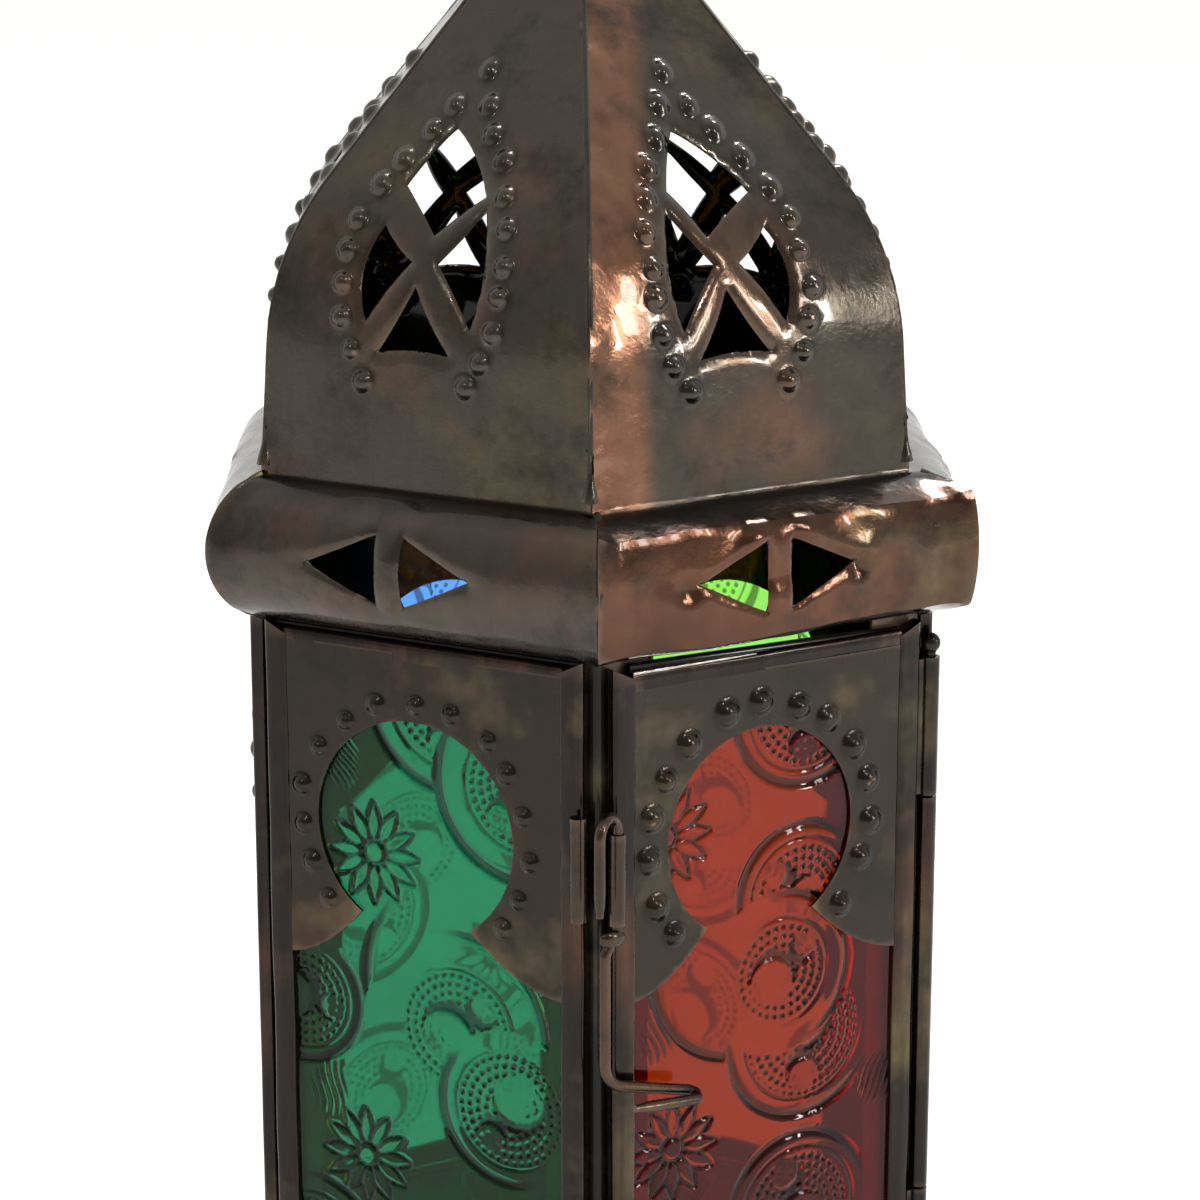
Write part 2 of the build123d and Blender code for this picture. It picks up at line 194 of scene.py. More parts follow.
def settle(piece, material, body, replaced, crease):
    """Shade a piece smooth but for its creases, give it its material, and tie it to the frame."""
    bpy.context.scene.collection.objects.link(piece)
    mesh = piece.data
    mesh.shade_smooth()
    creased = bmesh.new()
    creased.from_mesh(mesh)
    limit = math.radians(crease)
    for edge in creased.edges:
        edge.smooth = len(edge.link_faces) == 2 and edge.calc_face_angle(0) < limit
    creased.to_mesh(mesh)
    creased.free()
    mesh.materials.append(material)
    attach(piece, body)
    if replaced:
        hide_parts(*replaced)
    return piece


def resample(loop, step):
    """Points about a step apart along a closed loop, keeping its corners."""
    result = []
    for (x0, y0), (x1, y1) in zip(loop, loop[1:] + loop[:1]):
        pieces = max(1, round(math.hypot(x1 - x0, y1 - y0) / step))
        for k in range(pieces):
            share = k / pieces
            result.append((x0 + (x1 - x0) * share, y0 + (y1 - y0) * share))
    return result


def inside(points, loop):
    """For an array of points, whether each lies inside a closed loop."""
    x, y = points[:, 0], points[:, 1]
    result = np.zeros(len(points), bool)
    for (x0, y0), (x1, y1) in zip(loop, loop[1:] + loop[:1]):
        crosses = (y0 > y) != (y1 > y)
        with np.errstate(divide="ignore", invalid="ignore"):
            result ^= crosses & (x < (x1 - x0) * (y - y0) / (y1 - y0) + x0)
    return result


def nearest(points, targets, batch=200):
    """For an array of points, the distance to the nearest of the targets."""
    result = np.full(len(points), 1.0)
    for start in range(0, len(targets), batch):
        part = targets[start:start + batch]
        gaps = np.hypot(points[:, None, 0] - part[None, :, 0], points[:, None, 1] - part[None, :, 1])
        result = np.minimum(result, gaps.min(axis=1))
    return result


BEAD_RINGS = (0.0, 0.2, 0.4, 0.58, 0.74, 0.87, 0.97, 1.06, 1.2, 1.42)
BEAD_SIDES = 20


def bead_height(share):
    """The outline of a punched bead: a dome with a nicked tip, in a faint sunken ring."""
    dome = np.clip(1 - share ** 2, 0, None) ** 0.8
    tip = 0.10 * np.exp(-(share / 0.22) ** 2)
    skirt = 0.10 * np.exp(-((share - 1) / 0.2) ** 2)
    return dome - tip + skirt


def on_sheet(points, outline, holes):
    """For an array of points, whether each lies on a sheet and outside its holes."""
    result = inside(points, outline)
    for hole in holes:
        result &= ~inside(points, hole)
    return result


def sheet_grid(outline, holes, step):
    """Staggered points over a sheet, with a close collar of points round each hole."""
    low, high = np.min(outline, axis=0), np.max(outline, axis=0)
    rows = []
    for row, y in enumerate(np.arange(low[1] + step / 2, high[1], step * 0.87)):
        shift = step / 2 * (row % 2)
        rows += [(x, y) for x in np.arange(low[0] + step / 4 + shift, high[0], step)]
    grid = np.array(rows)
    edge = np.array([point for loop in [outline] + holes for point in loop])
    away = 0.5 * MM
    collar = np.array([(x + dx, y + dy) for loop in holes for x, y in loop
                       for dx, dy in ((away, 0), (-away, 0), (0, away), (0, -away))]).reshape(-1, 2)
    collar = collar[nearest(collar, edge) > 0.42 * MM]
    grid = grid[nearest(grid, collar) > 0.4 * step]
    grid = grid[nearest(grid, edge) > 0.5 * step]
    return np.vstack([grid, collar])


def bead_points(beads):
    """Rings of points over each bead."""
    points = []
    for x, y, radius, _ in beads:
        for turn, share in enumerate(BEAD_RINGS):
            for k in range(BEAD_SIDES if share else 1):
                angle = 2 * math.pi * (k + turn / 2) / BEAD_SIDES
                points.append((x + share * radius * math.cos(angle),
                               y + share * radius * math.sin(angle)))
    return np.array(points).reshape(-1, 2)


def fill(loops, grid):
    """The points of a sheet and the triangles between its outline, its holes and its grid."""
    points, edges = [], []
    for loop in loops:
        start = len(points)
        points += [Vector(point) for point in loop]
        edges += [(start + k, start + (k + 1) % len(loop)) for k in range(len(loop))]
    points += [Vector(point) for point in grid]
    flat, _, triangles, *_ = delaunay_2d_cdt(points, edges, [], 0, 1e-7)
    flat = np.array([tuple(point) for point in flat])
    triangles = np.array([tuple(triangle) for triangle in triangles])
    return flat, triangles[on_sheet(flat[triangles].mean(axis=1), loops[0], loops[1:])]


def pierced_sheet(name, outline, holes, step, beads, lift, place, thickness, roll=0.25 * MM):
    """A thin sheet as a fine mesh. outline and holes are loops in the sheet's own plane, beads
    are (x, y, radius, height), lift gives dents in metres for an array of points, and place turns
    (x, y, height) into a point in space. Cut edges roll inwards a little."""
    outer, *inner = [resample(loop, step) for loop in [outline] + holes]
    grid = sheet_grid(outer, inner, step)
    for x, y, radius, _ in beads:
        grid = grid[np.hypot(grid[:, 0] - x, grid[:, 1] - y) > 1.55 * radius]
    edge = np.array([point for loop in [outer] + inner for point in loop])
    rings = bead_points(beads)
    grid = np.vstack([grid, rings[nearest(rings, edge) > 0.25 * MM]])
    grid = grid[on_sheet(grid, outer, inner)]
    flat, triangles = fill([outer] + inner, grid)
    height = lift(flat)
    for x, y, radius, tall in beads:
        share = np.hypot(flat[:, 0] - x, flat[:, 1] - y) / radius
        height += np.where(share < 1.6, tall * bead_height(share), 0.0)
    cuts = np.array([point for loop in holes for point in resample(loop, 0.2 * MM)]).reshape(-1, 2)
    height -= roll * np.clip(1 - nearest(flat, cuts) / (1.3 * MM), 0, 1) ** 2
    mesh = bpy.data.meshes.new(name)
    mesh.from_pydata([tuple(place(x, y, h)) for (x, y), h in zip(flat, height)], [],
                     [tuple(int(k) for k in triangle) for triangle in triangles])
    return thicken(name, mesh, thickness)


def thicken(name, mesh, thickness):
    """Drop loose points from an open mesh and give it a thickness behind its outer side."""
    cleaned = bmesh.new()
    cleaned.from_mesh(mesh)
    bmesh.ops.delete(cleaned, geom=[v for v in cleaned.verts if not v.link_faces], context="VERTS")
    cleaned.to_mesh(mesh)
    cleaned.free()
    draft = bpy.data.objects.new(name, mesh)
    bpy.context.scene.collection.objects.link(draft)
    solid = draft.modifiers.new("thickness", "SOLIDIFY")
    solid.thickness = thickness
    solid.offset = -1
    bpy.context.view_layer.update()
    evaluated = draft.evaluated_get(bpy.context.evaluated_depsgraph_get())
    finished = bpy.data.meshes.new_from_object(evaluated)
    outer = len(mesh.vertices)
    bpy.data.objects.remove(draft)
    finished.name = name
    back = finished.attributes.new("inside", "FLOAT", "POINT")
    back.data.foreach_set("value", (np.arange(len(finished.vertices)) >= outer).astype(np.float32))
    return bpy.data.objects.new(name, finished)


def arc(centre, radius, start, end, count):
    """Points along an arc in a plane, angles in degrees."""
    return [(centre[0] + radius * math.cos(math.radians(start + (end - start) * k / count)),
             centre[1] + radius * math.sin(math.radians(start + (end - start) * k / count)))
            for k in range(count + 1)]


def rounded_path(corners, radii, pieces=8):
    """A line through corner points in space, with an arc of its own radius at each inner corner."""
    path = [corners[0]]
    for before, corner, after, radius in zip(corners, corners[1:], corners[2:], radii):
        back, ahead = (before - corner).normalized(), (after - corner).normalized()
        half = back.angle(ahead) / 2
        reach = radius / math.tan(half)
        start, end = corner + back * reach, corner + ahead * reach
        for k in range(pieces + 1):
            share = k / pieces
            path.append(start * (1 - share) ** 2 + corner * 2 * share * (1 - share)
                        + end * share ** 2)
    path.append(corners[-1])
    return path


def densify(path, step):
    """The same line with points no more than a step apart."""
    result = [path[0]]
    for before, after in zip(path, path[1:]):
        pieces = max(1, math.ceil((after - before).length / step))
        result += [before.lerp(after, k / pieces) for k in range(1, pieces + 1)]
    return result


def dents(normal, size, depth, seed):
    """Soft dents all over a sheet, as a function of an array of points in its plane."""
    def lift(points):
        return np.array([depth * noise.fractal(Vector((x / size, y / size, normal * 0.37 + seed)),
                                               0.6, 2.0, 3) for x, y in points])
    return lift


def on_face(normal, u, d, z):
    """The point in space at u, d and z on a face."""
    out, side = directions(normal)
    return out * d + side * u + Vector((0, 0, z))


# ---- Materials ----

class Nodes:
    """Short ways to add and join the nodes of one material."""

    def __init__(self, name):
        self.material = bpy.data.materials.new(name)
        self.material.use_nodes = True
        self.tree = self.material.node_tree
        self.shader = self.tree.nodes["Principled BSDF"]
        coordinates = self.add("ShaderNodeTexCoord")
        self.place = coordinates.outputs["Object"]
        self.own_normal = coordinates.outputs["Normal"]

    def feed(self, value, socket):
        """Join another node's output to an input, or give it a constant."""
        if isinstance(value, bpy.types.NodeSocket):
            self.tree.links.new(value, socket)
        else:
            socket.default_value = (*value, 1) if socket.type == "RGBA" else value

    def add(self, kind, *values, **settings):
        """Add a node with its settings, its inputs fed in order from the first."""
        node = self.tree.nodes.new(kind)
        for name, value in settings.items():
            setattr(node, name, value)
        for value, socket in zip(values, node.inputs):
            self.feed(value, socket)
        return node

    def noise(self, scale, detail=3.0, rough=0.55, stretch=(1, 1, 1), offset=0.0):
        mapping = self.add("ShaderNodeMapping", self.place)
        self.feed((offset, offset * 0.7, offset * 1.3), mapping.inputs["Location"])
        self.feed(stretch, mapping.inputs["Scale"])
        node = self.add("ShaderNodeTexNoise", mapping.outputs["Vector"])
        for value, name in ((scale, "Scale"), (detail, "Detail"), (rough, "Roughness")):
            self.feed(value, node.inputs[name])
        return node.outputs["Fac"]

    def ramp(self, source, stops):
        """Turn a value into another value or a colour. stops are two (position, value or colour)
        pairs or more."""
        node = self.add("ShaderNodeValToRGB", source)
        elements = node.color_ramp.elements
        for k, (position, value) in enumerate(stops):
            element = elements[k] if k < 2 else elements.new(position)
            element.position = position
            colour = value if isinstance(value, tuple) else (value,) * 3
            element.color = (*colour, 1)
        return node.outputs["Color"]

    def mix(self, share, first, second, mode="MIX"):
        """Blend two colours. share, first and second are each a socket or a constant."""
        node = self.add("ShaderNodeMix", share, data_type="RGBA", blend_type=mode)
        self.feed(first, node.inputs[6])
        self.feed(second, node.inputs[7])
        return node.outputs[2]

    def math(self, operation, first, second):
        return self.add("ShaderNodeMath", first, second, operation=operation).outputs["Value"]

    def vector(self, operation, first, second=(0, 0, 0), output="Vector"):
        node = self.add("ShaderNodeVectorMath", first, second, operation=operation)
        return node.outputs[output]

    def dot(self, first, second):
        """The part of one vector that lies along another."""
        return self.vector("DOT_PRODUCT", first, second, "Value")

    def attribute(self, name):
        return self.add("ShaderNodeAttribute", attribute_name=name).outputs["Fac"]

    def painted_inner_shade(self):
        """Painted shade: one on the back of a sheet and on surfaces that look towards the lantern's axis.
        """
        outward = self.vector("NORMALIZE", self.vector("MULTIPLY", self.place, (1, 1, 0)))
        towards_axis = self.math("MULTIPLY", self.dot(self.own_normal, outward), -1)
        hidden = self.math("MAXIMUM", towards_axis, self.attribute("inside"))
        return self.ramp(hidden, [(0.3, 0.0), (0.5, 1.0)])

    def bump(self, height, strength, distance):
        node = self.add("ShaderNodeBump")
        for value, name in ((height, "Height"), (strength, "Strength"), (distance, "Distance")):
            self.feed(value, node.inputs[name])
        self.feed(node.outputs["Normal"], self.shader.inputs["Normal"])

    def set(self, **values):
        """Set inputs of the shader; each is a constant or a socket."""
        for name, value in values.items():
            self.feed(value, self.shader.inputs[name.replace("_", " ")])


BRONZE = (0.060, 0.051, 0.038)
BLACK = (0.006, 0.005, 0.004)
# Soot colour, also used for painted shade in creases and under the roof's edge.
SOOT_AND_SHADE = (0.014, 0.012, 0.009)
COPPER = (0.125, 0.062, 0.036)
BRIGHT_COPPER = (0.195, 0.088, 0.048)
PALE_COPPER = (0.300, 0.190, 0.130)
OLD_GOLD = (0.105, 0.078, 0.038)
DULL = (0.9, 0.9, 0.9)


def lacquered_metal(name, copper_share, seed, base=BRONZE, rough=(0.20, 0.34), streaks=0.15,
                    accent=COPPER, paint_inner_shade=True, bands=(), gloss=0.3):
    """Antiqued lacquer over thin sheet: clouds of an accent colour and old gold over a base, draw
    marks, random soot, and painted shade in concave creases and on the inward side. bands are
    (function that gives a share, colour) and tint part of a sheet."""
    nodes = Nodes(name)
    clouds = nodes.noise(26, 4, 0.55, offset=seed)
    share = nodes.ramp(clouds, [(0.66 - 0.36 * copper_share, 0.0), (0.84 - 0.34 * copper_share, 1.0)])
    colour = nodes.mix(share, base, accent)
    gold = nodes.ramp(nodes.noise(45, 4, 0.6, offset=seed + 3), [(0.55, 0.0), (0.72, 0.8)])
    colour = nodes.mix(gold, colour, OLD_GOLD)
    for measure, tint in bands:
        colour = nodes.mix(measure(nodes), colour, tint)
    marks = nodes.noise(1, 4, 0.65, stretch=(420, 420, 26), offset=seed)
    colour = nodes.mix(streaks, colour, nodes.ramp(marks, [(0.30, 0.35), (0.52, 0.8), (0.72, 1.25)]),
                       "MULTIPLY")
    soot = nodes.ramp(nodes.noise(60, 6, 0.7, offset=seed + 8), [(0.50, 0.0), (0.68, 0.8)])
    colour = nodes.mix(soot, colour, SOOT_AND_SHADE)
    # Painted shade: concave creases and hollows darken towards the soot colour. Convex edges get pale
    # copper wear.
    pointiness = nodes.add("ShaderNodeNewGeometry").outputs["Pointiness"]
    colour = nodes.mix(nodes.ramp(pointiness, [(0.44, 0.85), (0.495, 0.0)]), colour, SOOT_AND_SHADE)
    colour = nodes.mix(nodes.ramp(pointiness, [(0.55, 0.0), (0.66, 0.45)]), colour, PALE_COPPER)
    wear = nodes.ramp(nodes.noise(260, 5, 0.7, offset=seed), [(0.30, rough[0]), (0.72, rough[1])])
    # Painted shade: the back of the sheet and surfaces facing the axis go black and dull.
    if paint_inner_shade:
        inner_shade = nodes.painted_inner_shade()
        colour = nodes.mix(inner_shade, colour, BLACK)
        wear = nodes.mix(inner_shade, wear, DULL)
    nodes.bump(nodes.mix(0.35, nodes.noise(900, 3, 0.6), nodes.noise(150, 3, 0.5)), 0.3, 0.25 * MM)
    nodes.set(Base_Color=colour, Roughness=wear, Metallic=0.92, Coat_Weight=gloss, Coat_Roughness=0.05)
    return nodes.material


def fading(nodes, distance, reach, stops):
    """A share that falls off with a distance, its stops placed as shares of a reach."""
    return nodes.ramp(nodes.math("DIVIDE", distance, reach), stops)


def beside_hip(nodes):
    """A ragged band beside the front hip of the roof sheet over the door."""
    out, side = directions(DOOR_FACE)
    waves = nodes.math("MULTIPLY", nodes.noise(60, 3, 0.5), 5 * MM)
    distance = nodes.math("ADD", nodes.dot(nodes.place, side + out * TAN30), waves)
    return fading(nodes, distance, 13 * MM, [(0.70, 0.9), (1.0, 0.0)])


def round_window(nodes):
    """The struts and beads round the window of the roof sheet over the door."""
    centre = on_face(DOOR_FACE, WINDOW_U, ROOF_EAVE, ROOF_Z + CROSSING)
    distance = nodes.vector("DISTANCE", nodes.place, centre, "Value")
    return fading(nodes, distance, 18 * MM, [(0.45, 0.75), (1.0, 0.0)])


def shade_under_eave(nodes):
    """The top of an upper belt under the roof's edge, darkened there as painted shade."""
    depth = nodes.math("SUBTRACT", BELT_UP[1], nodes.dot(nodes.place, (0, 0, 1)))
    waves = nodes.math("MULTIPLY", nodes.noise(70, 3, 0.5), 2 * MM)
    return fading(nodes, nodes.math("ADD", depth, waves), 5 * MM, [(0.45, 0.9), (0.85, 0.0)])


def stained_glass(name, colour, shade):
    """Clear pressed glass coloured through; its pressed lines are darkened in colour as painted shade."""
    nodes = Nodes(name)
    cloud = nodes.ramp(nodes.noise(40, 3, 0.5), [(0.35, colour), (0.75, shade)])
    # Painted shade: the deeper the relief, the nearer its colour goes to black.
    grooves = nodes.ramp(nodes.attribute("relief"), [(0.18, 0.0), (0.60, 0.94)])
    tint = nodes.mix(grooves, cloud, tuple(0.05 * part + 0.006 for part in shade))
    haze = nodes.ramp(nodes.noise(300, 3, 0.5), [(0.3, 0.02), (0.8, 0.08)])
    nodes.bump(nodes.noise(220, 2, 0.5), 0.08, 0.2 * MM)
    nodes.set(Base_Color=tint, Roughness=haze, IOR=1.3, Transmission_Weight=0.98)
    return nodes.material


# ---- Roof ----

WALL_LEAN = math.atan(0.06)
SLOPE_LEAN = math.atan(0.816)
KNEE_HEIGHT = 34.8 * MM
KNEE_RADIUS = 44 * MM
KNEE_REACH = KNEE_RADIUS * math.tan((SLOPE_LEAN - WALL_LEAN) / 2)
ROOF_SHIFT = Vector((-1.0, 0, 0)) * MM


def roof_outline(height):
    """The roof sheet's distance from the axis and its tilt, at a height above the eave."""
    knee = ROOF_EAVE - math.tan(WALL_LEAN) * KNEE_HEIGHT
    low = KNEE_HEIGHT - KNEE_REACH * math.cos(WALL_LEAN)
    high = KNEE_HEIGHT + KNEE_REACH * math.cos(SLOPE_LEAN)
    if height <= low:
        return ROOF_EAVE - math.tan(WALL_LEAN) * height, WALL_LEAN
    if height >= high:
        return knee - math.tan(SLOPE_LEAN) * (height - KNEE_HEIGHT), SLOPE_LEAN
    centre_d = ROOF_EAVE - math.tan(WALL_LEAN) * low - KNEE_RADIUS * math.cos(WALL_LEAN)
    centre_z = low - KNEE_RADIUS * math.sin(WALL_LEAN)
    tilt = math.asin(min(1, (height - centre_z) / KNEE_RADIUS))
    return centre_d + KNEE_RADIUS * math.cos(tilt), tilt


WINDOW_U = -2.0 * MM
CROSSING = 34.0 * MM


def window_loops(lean):
    """A kite, two lenses and a triangle round a pair of crossing struts, with bowed sides. lean
    says which lens is the taller one."""
    def bowed(corners, bows):
        loop = []
        ends = corners[1:] + corners[:1]
        for (x0, y0), (x1, y1), bow in zip(corners, ends, bows):
            for k in range(6):
                share = k / 6
                swell = 4 * bow * share * (1 - share)
                length = math.hypot(x1 - x0, y1 - y0)
                loop.append(((x0 + (x1 - x0) * share + swell * (y1 - y0) / length) * MM + WINDOW_U,
                             (y0 + (y1 - y0) * share - swell * (x1 - x0) / length) * MM + CROSSING))
        return loop

    low_x = 0.6 if lean > 0 else -2.4
    loops = [bowed([(-1.8, 20), (-6.9, 11.7), (low_x, 4.8), (7.6, 10.8)], (0.3, -0.2, -0.2, 0.8)),
             bowed([(-0.9, -2.8), (-6.7, -13.2), (5.9, -12.9)], (-0.3, -0.6, -0.3))]
    for side in (-1, 1):
        tall = 8.9 if side == lean else 5.8
        corners = [(side * 8.4, tall), (side * 2.3, 0.8), (side * 9.2, -8.6)]
        loops.append(bowed(corners, [side * bow for bow in (-0.3, -0.3, 1.8)]))
    return loops


def bead_course(side):
    """Beads up one side of a window: out round its foot, in along the slope to the top."""
    guide = [Vector((9.0, -17.5, 0)), Vector((12.6, -12, 0)), Vector((14.2, -2.5, 0)),
             Vector((12.9, 7.5, 0)), Vector((8.6, 15.5, 0)), Vector((4.2, 20.5, 0)),
             Vector((0.4, 27.5, 0))]
    path = densify(guide, 0.25)
    lengths = np.cumsum([0] + [(b - a).length for a, b in zip(path, path[1:])])
    count = 10
    for k in range(count):
        spot = path[int(np.searchsorted(lengths, lengths[-1] * k / count))]
        yield side * spot.x, spot.y


def window_beads(rng):
    """The row of beads round one window, each a little different."""
    spots = list(bead_course(-1)) + list(bead_course(1)) + [(0.3, 27.8)]
    return [(x * MM + WINDOW_U + rng.uniform(-0.4, 0.4) * MM,
             y * MM + CROSSING + rng.uniform(-0.4, 0.4) * MM,
             rng.uniform(1.45, 1.75) * MM, rng.uniform(1.1, 1.6) * MM) for x, y in spots]


def roof_sheet(name, normal):
    """One roof sheet with its pierced window; the one over the door is rippled beside its hip."""
    height = ROOF_TOP - ROOF_Z
    levels = [height * k / 40 for k in range(41)]
    right = [(roof_outline(z)[0] * TAN30, z) for z in levels]
    outline = right + [(-u, z) for u, z in reversed(right)]
    rough = dents(normal, 38 * MM, 0.35 * MM, 3.1)
    ripples = dents(normal, 9 * MM, 1.0 * MM, 8.7)
    over_door = normal == DOOR_FACE

    def lift(points):
        hips = np.array([roof_outline(z)[0] * TAN30 for z in points[:, 1]])
        calm_top = np.clip((height - points[:, 1]) / (4 * MM), 0, 1)
        calm = np.clip((hips - np.abs(points[:, 0])) / (5 * MM), 0, 1) * calm_top
        result = (rough(points) - 0.12 * MM) * calm
        if over_door:
            near_hip = np.exp(-((hips + points[:, 0]) / (7 * MM)) ** 2) * calm_top
            result += 0.35 * MM * near_hip * (ripples(points) / MM - 0.4)
        return result

    def place(u, z, lifted):
        d, tilt = roof_outline(z)
        spot = on_face(normal, u, d + lifted * math.cos(tilt), ROOF_Z + z + lifted * math.sin(tilt))
        return spot + ROOF_SHIFT

    beads = window_beads(random.Random(normal + 7))
    piece = pierced_sheet(f"roof_sheet_{name}", outline, window_loops(-1 if over_door else 1), 1.2 * MM,
                          beads, lift, place, SHEET, roll=0.5 * MM)
    material = SIDE_METAL if over_door else ROOF_METAL
    settle(piece, material, "lantern", [f"roof_{name}"], 75)


def roof_seam(name, corner):
    """The soldered hip between two roof sheets: an uneven raised line, thick at both ends."""
    height = ROOF_TOP - ROOF_Z
    path = []
    for k in range(61):
        z = height * k / 60
        reach = roof_outline(z)[0] / COS30 - 0.55 * MM
        path.append(directions(corner)[0] * reach + Vector((0, 0, ROOF_Z + z)) + ROOF_SHIFT)

    def thickness(share):
        lump = 0.12 * noise.noise(Vector((share * 22, corner * 0.1, 0)))
        ends = 0.8 * math.exp(-(share / 0.03) ** 2) + 0.6 * math.exp(-((1 - share) / 0.06) ** 2)
        return (0.50 + lump + ends) * MM

    seam = Shape()
    seam.tube(path[1:], thickness, 10)
    seam.object(f"roof_seam_{name}", SEAM_METAL, "lantern")


# ---- Belts ----

BELT_MIDDLE = sum(BELT_UP) / 2
BELT_HALF = (BELT_UP[1] - BELT_UP[0]) / 2
BELT_OUT = BELT_AWAY[1]
BELT_SAGITTA = 8.1 * MM
BELT_RADIUS = (BELT_HALF ** 2 + BELT_SAGITTA ** 2) / (2 * BELT_SAGITTA)
BELT_SWEEP = math.asin(BELT_HALF / BELT_RADIUS)
BELT_ARC = BELT_RADIUS * BELT_SWEEP
FLANGE = BELT_OUT - BELT_SAGITTA - BELT_AWAY[0]
# Dents and lumps round a belt's holes: u, travel and size in mm, and how far each stands out.
BELT_LUMPS = ((-6.5, 6.5, 2.6, 1.0), (2.5, 7.5, 3.0, 0.8), (-2.2, 0, 2.0, -0.5), (13.5, 2.5, 2.5, 0.6),
              (-18.5, 0.2, 1.8, -0.9), (12.6, -0.3, 1.6, -0.8))


def belt_section(travel, boxy):
    """Distance, height above the middle and outward tilt, at a travel along the belt's profile.
    boxy squares the roll off towards a flat front with two creases."""
    if abs(travel) > BELT_ARC:
        sign = math.copysign(1, travel)
        return BELT_OUT - BELT_SAGITTA - (abs(travel) - BELT_ARC), sign * BELT_HALF, sign * math.pi / 2
    angle = travel / BELT_RADIUS
    bulge = math.cos(angle) - math.cos(BELT_SWEEP)
    full = 1 - math.cos(BELT_SWEEP)
    flat = min(1.0, (bulge / full) * 2.1)
    d = BELT_OUT - BELT_SAGITTA + BELT_SAGITTA * ((1 - boxy) * bulge / full + boxy * flat)
    return d, BELT_RADIUS * math.sin(angle), angle


def belt_hole_loops():
    """A lozenge split in two by an upright strut, in (u, travel)."""
    middle, strut, length, tall = -2.3 * MM, 4.9 * MM, 14.4 * MM, 5.9 * MM
    for side in (-1, 1):
        root = middle + side * strut / 2
        yield [(root, tall + 0.6 * MM), (root - side * 0.3 * MM, 0.3 * MM), (root, -tall + 0.6 * MM),
               (middle + side * length * 0.6, -2.2 * MM), (middle + side * length, 0.7 * MM),
               (middle + side * length * 0.6, 3.5 * MM)]


def belt_sheet(name, normal, middle, pierced, prefix, material, boxy):
    """One side of a rolled belt with its flanges, dented by hand work."""
    travel_end = BELT_ARC + FLANGE
    right = []
    for k in range(49):
        travel = travel_end * (k / 24 - 1)
        right.append((belt_section(travel, boxy)[0] * TAN30, travel))
    outline = right + [(-u, travel) for u, travel in reversed(right)]
    rough = dents(normal, 30 * MM, 0.8 * MM, middle * 50)
    give = 0.35 + boxy

    def lift(points):
        edge = np.array([belt_section(travel, boxy)[0] * TAN30 for travel in points[:, 1]])
        calm = np.clip((edge - np.abs(points[:, 0])) / (4 * MM), 0, 1)
        calm *= np.clip((BELT_ARC - np.abs(points[:, 1])) / (3 * MM), 0, 1)
        result = (rough(points) - 0.25 * MM) * give
        for u, travel, size, depth in BELT_LUMPS if pierced else ():
            gap = np.hypot(points[:, 0] - u * MM, points[:, 1] - travel * MM) / (size * MM)
            result += depth * give * MM * np.exp(-gap ** 2)
        return np.minimum(result, 0.7 * MM) * calm

    def place(u, travel, lifted):
        d, rise, tilt = belt_section(travel, boxy)
        return on_face(normal, u, d + lifted * math.cos(tilt), middle + rise + lifted * math.sin(tilt))

    holes = list(belt_hole_loops()) if pierced else []
    piece = pierced_sheet(f"{prefix}_sheet_{name}", outline, holes, 1.25 * MM, [], lift, place, SHEET,
                          roll=0.6 * MM)
    settle(piece, material, "lantern", [f"{prefix}_{name}"], 32)


def belt_seam(name, corner, middle, prefix):
    """The soldered mitre where two sides of a belt meet."""
    path = []
    for k in range(41):
        d, rise, _ = belt_section(BELT_ARC * (k / 20 - 1), 0.0)
        path.append(directions(corner)[0] * (d / COS30 - 0.75 * MM) + Vector((0, 0, middle + rise)))

    def thickness(share):
        return (0.62 + 0.22 * noise.noise(Vector((share * 14, corner, middle * 9)))) * MM

    seam = Shape()
    seam.tube(path, thickness, 10)
    seam.object(f"{prefix}_seam_{name}", SEAM_METAL, "lantern")


# ---- Panels ----

def pill(width, depth, crown=0.25 * MM, corner=0.55 * MM):
    """The section of a folded strip: a rounded bar with a slightly crowned front, as (x, y)."""
    half = width / 2
    points = []
    for centre_x, centre_y, start in ((half - corner, corner, -90), (half - corner, depth - corner, 0),
                                      (corner - half, depth - corner, 90), (corner - half, corner, 180)):
        points += arc((centre_x, centre_y), corner, start, start + 90, 4)
    return [(x, y + crown * max(0, 1 - (x / half) ** 2) * (y / depth)) for x, y in points]


def strip(shape, normal, start, end, width, back, depth, seed, slant=0.0):
    """A folded strip from (u, z) to (u, z), its edges wavering a little. slant cuts its far end."""
    (u0, z0), (u1, z1) = start, end
    length = math.hypot(u1 - u0, z1 - z0)
    along = ((u1 - u0) / length, (z1 - z0) / length)
    section = pill(width, depth)
    count = max(6, round(length / (2.5 * MM)))
    sections = []
    for k in range(count + 1):
        share = k / count
        wave = 0.18 * MM * noise.noise(Vector((share * length * 60, seed, 0)))
        swell = 1 + 0.05 * noise.noise(Vector((share * length * 90, seed + 5, 0)))
        loop = []
        for x, y in section:
            reach = share * length + (slant * x if k == count else 0)
            u = u0 + along[0] * reach - along[1] * (x * swell + wave)
            z = z0 + along[1] * reach + along[0] * (x * swell + wave)
            loop.append(on_face(normal, u, back + y * (1 + 0.3 * (swell - 1)), z))
        sections.append(loop)
    shape.loft(sections)


SIDE_STRIP, TOP_STRIP = 4.0 * MM, 3.4 * MM
STRIP_INNER = SIDE_STRIP - 0.4 * MM
DOOR_RISE = 0.9 * MM


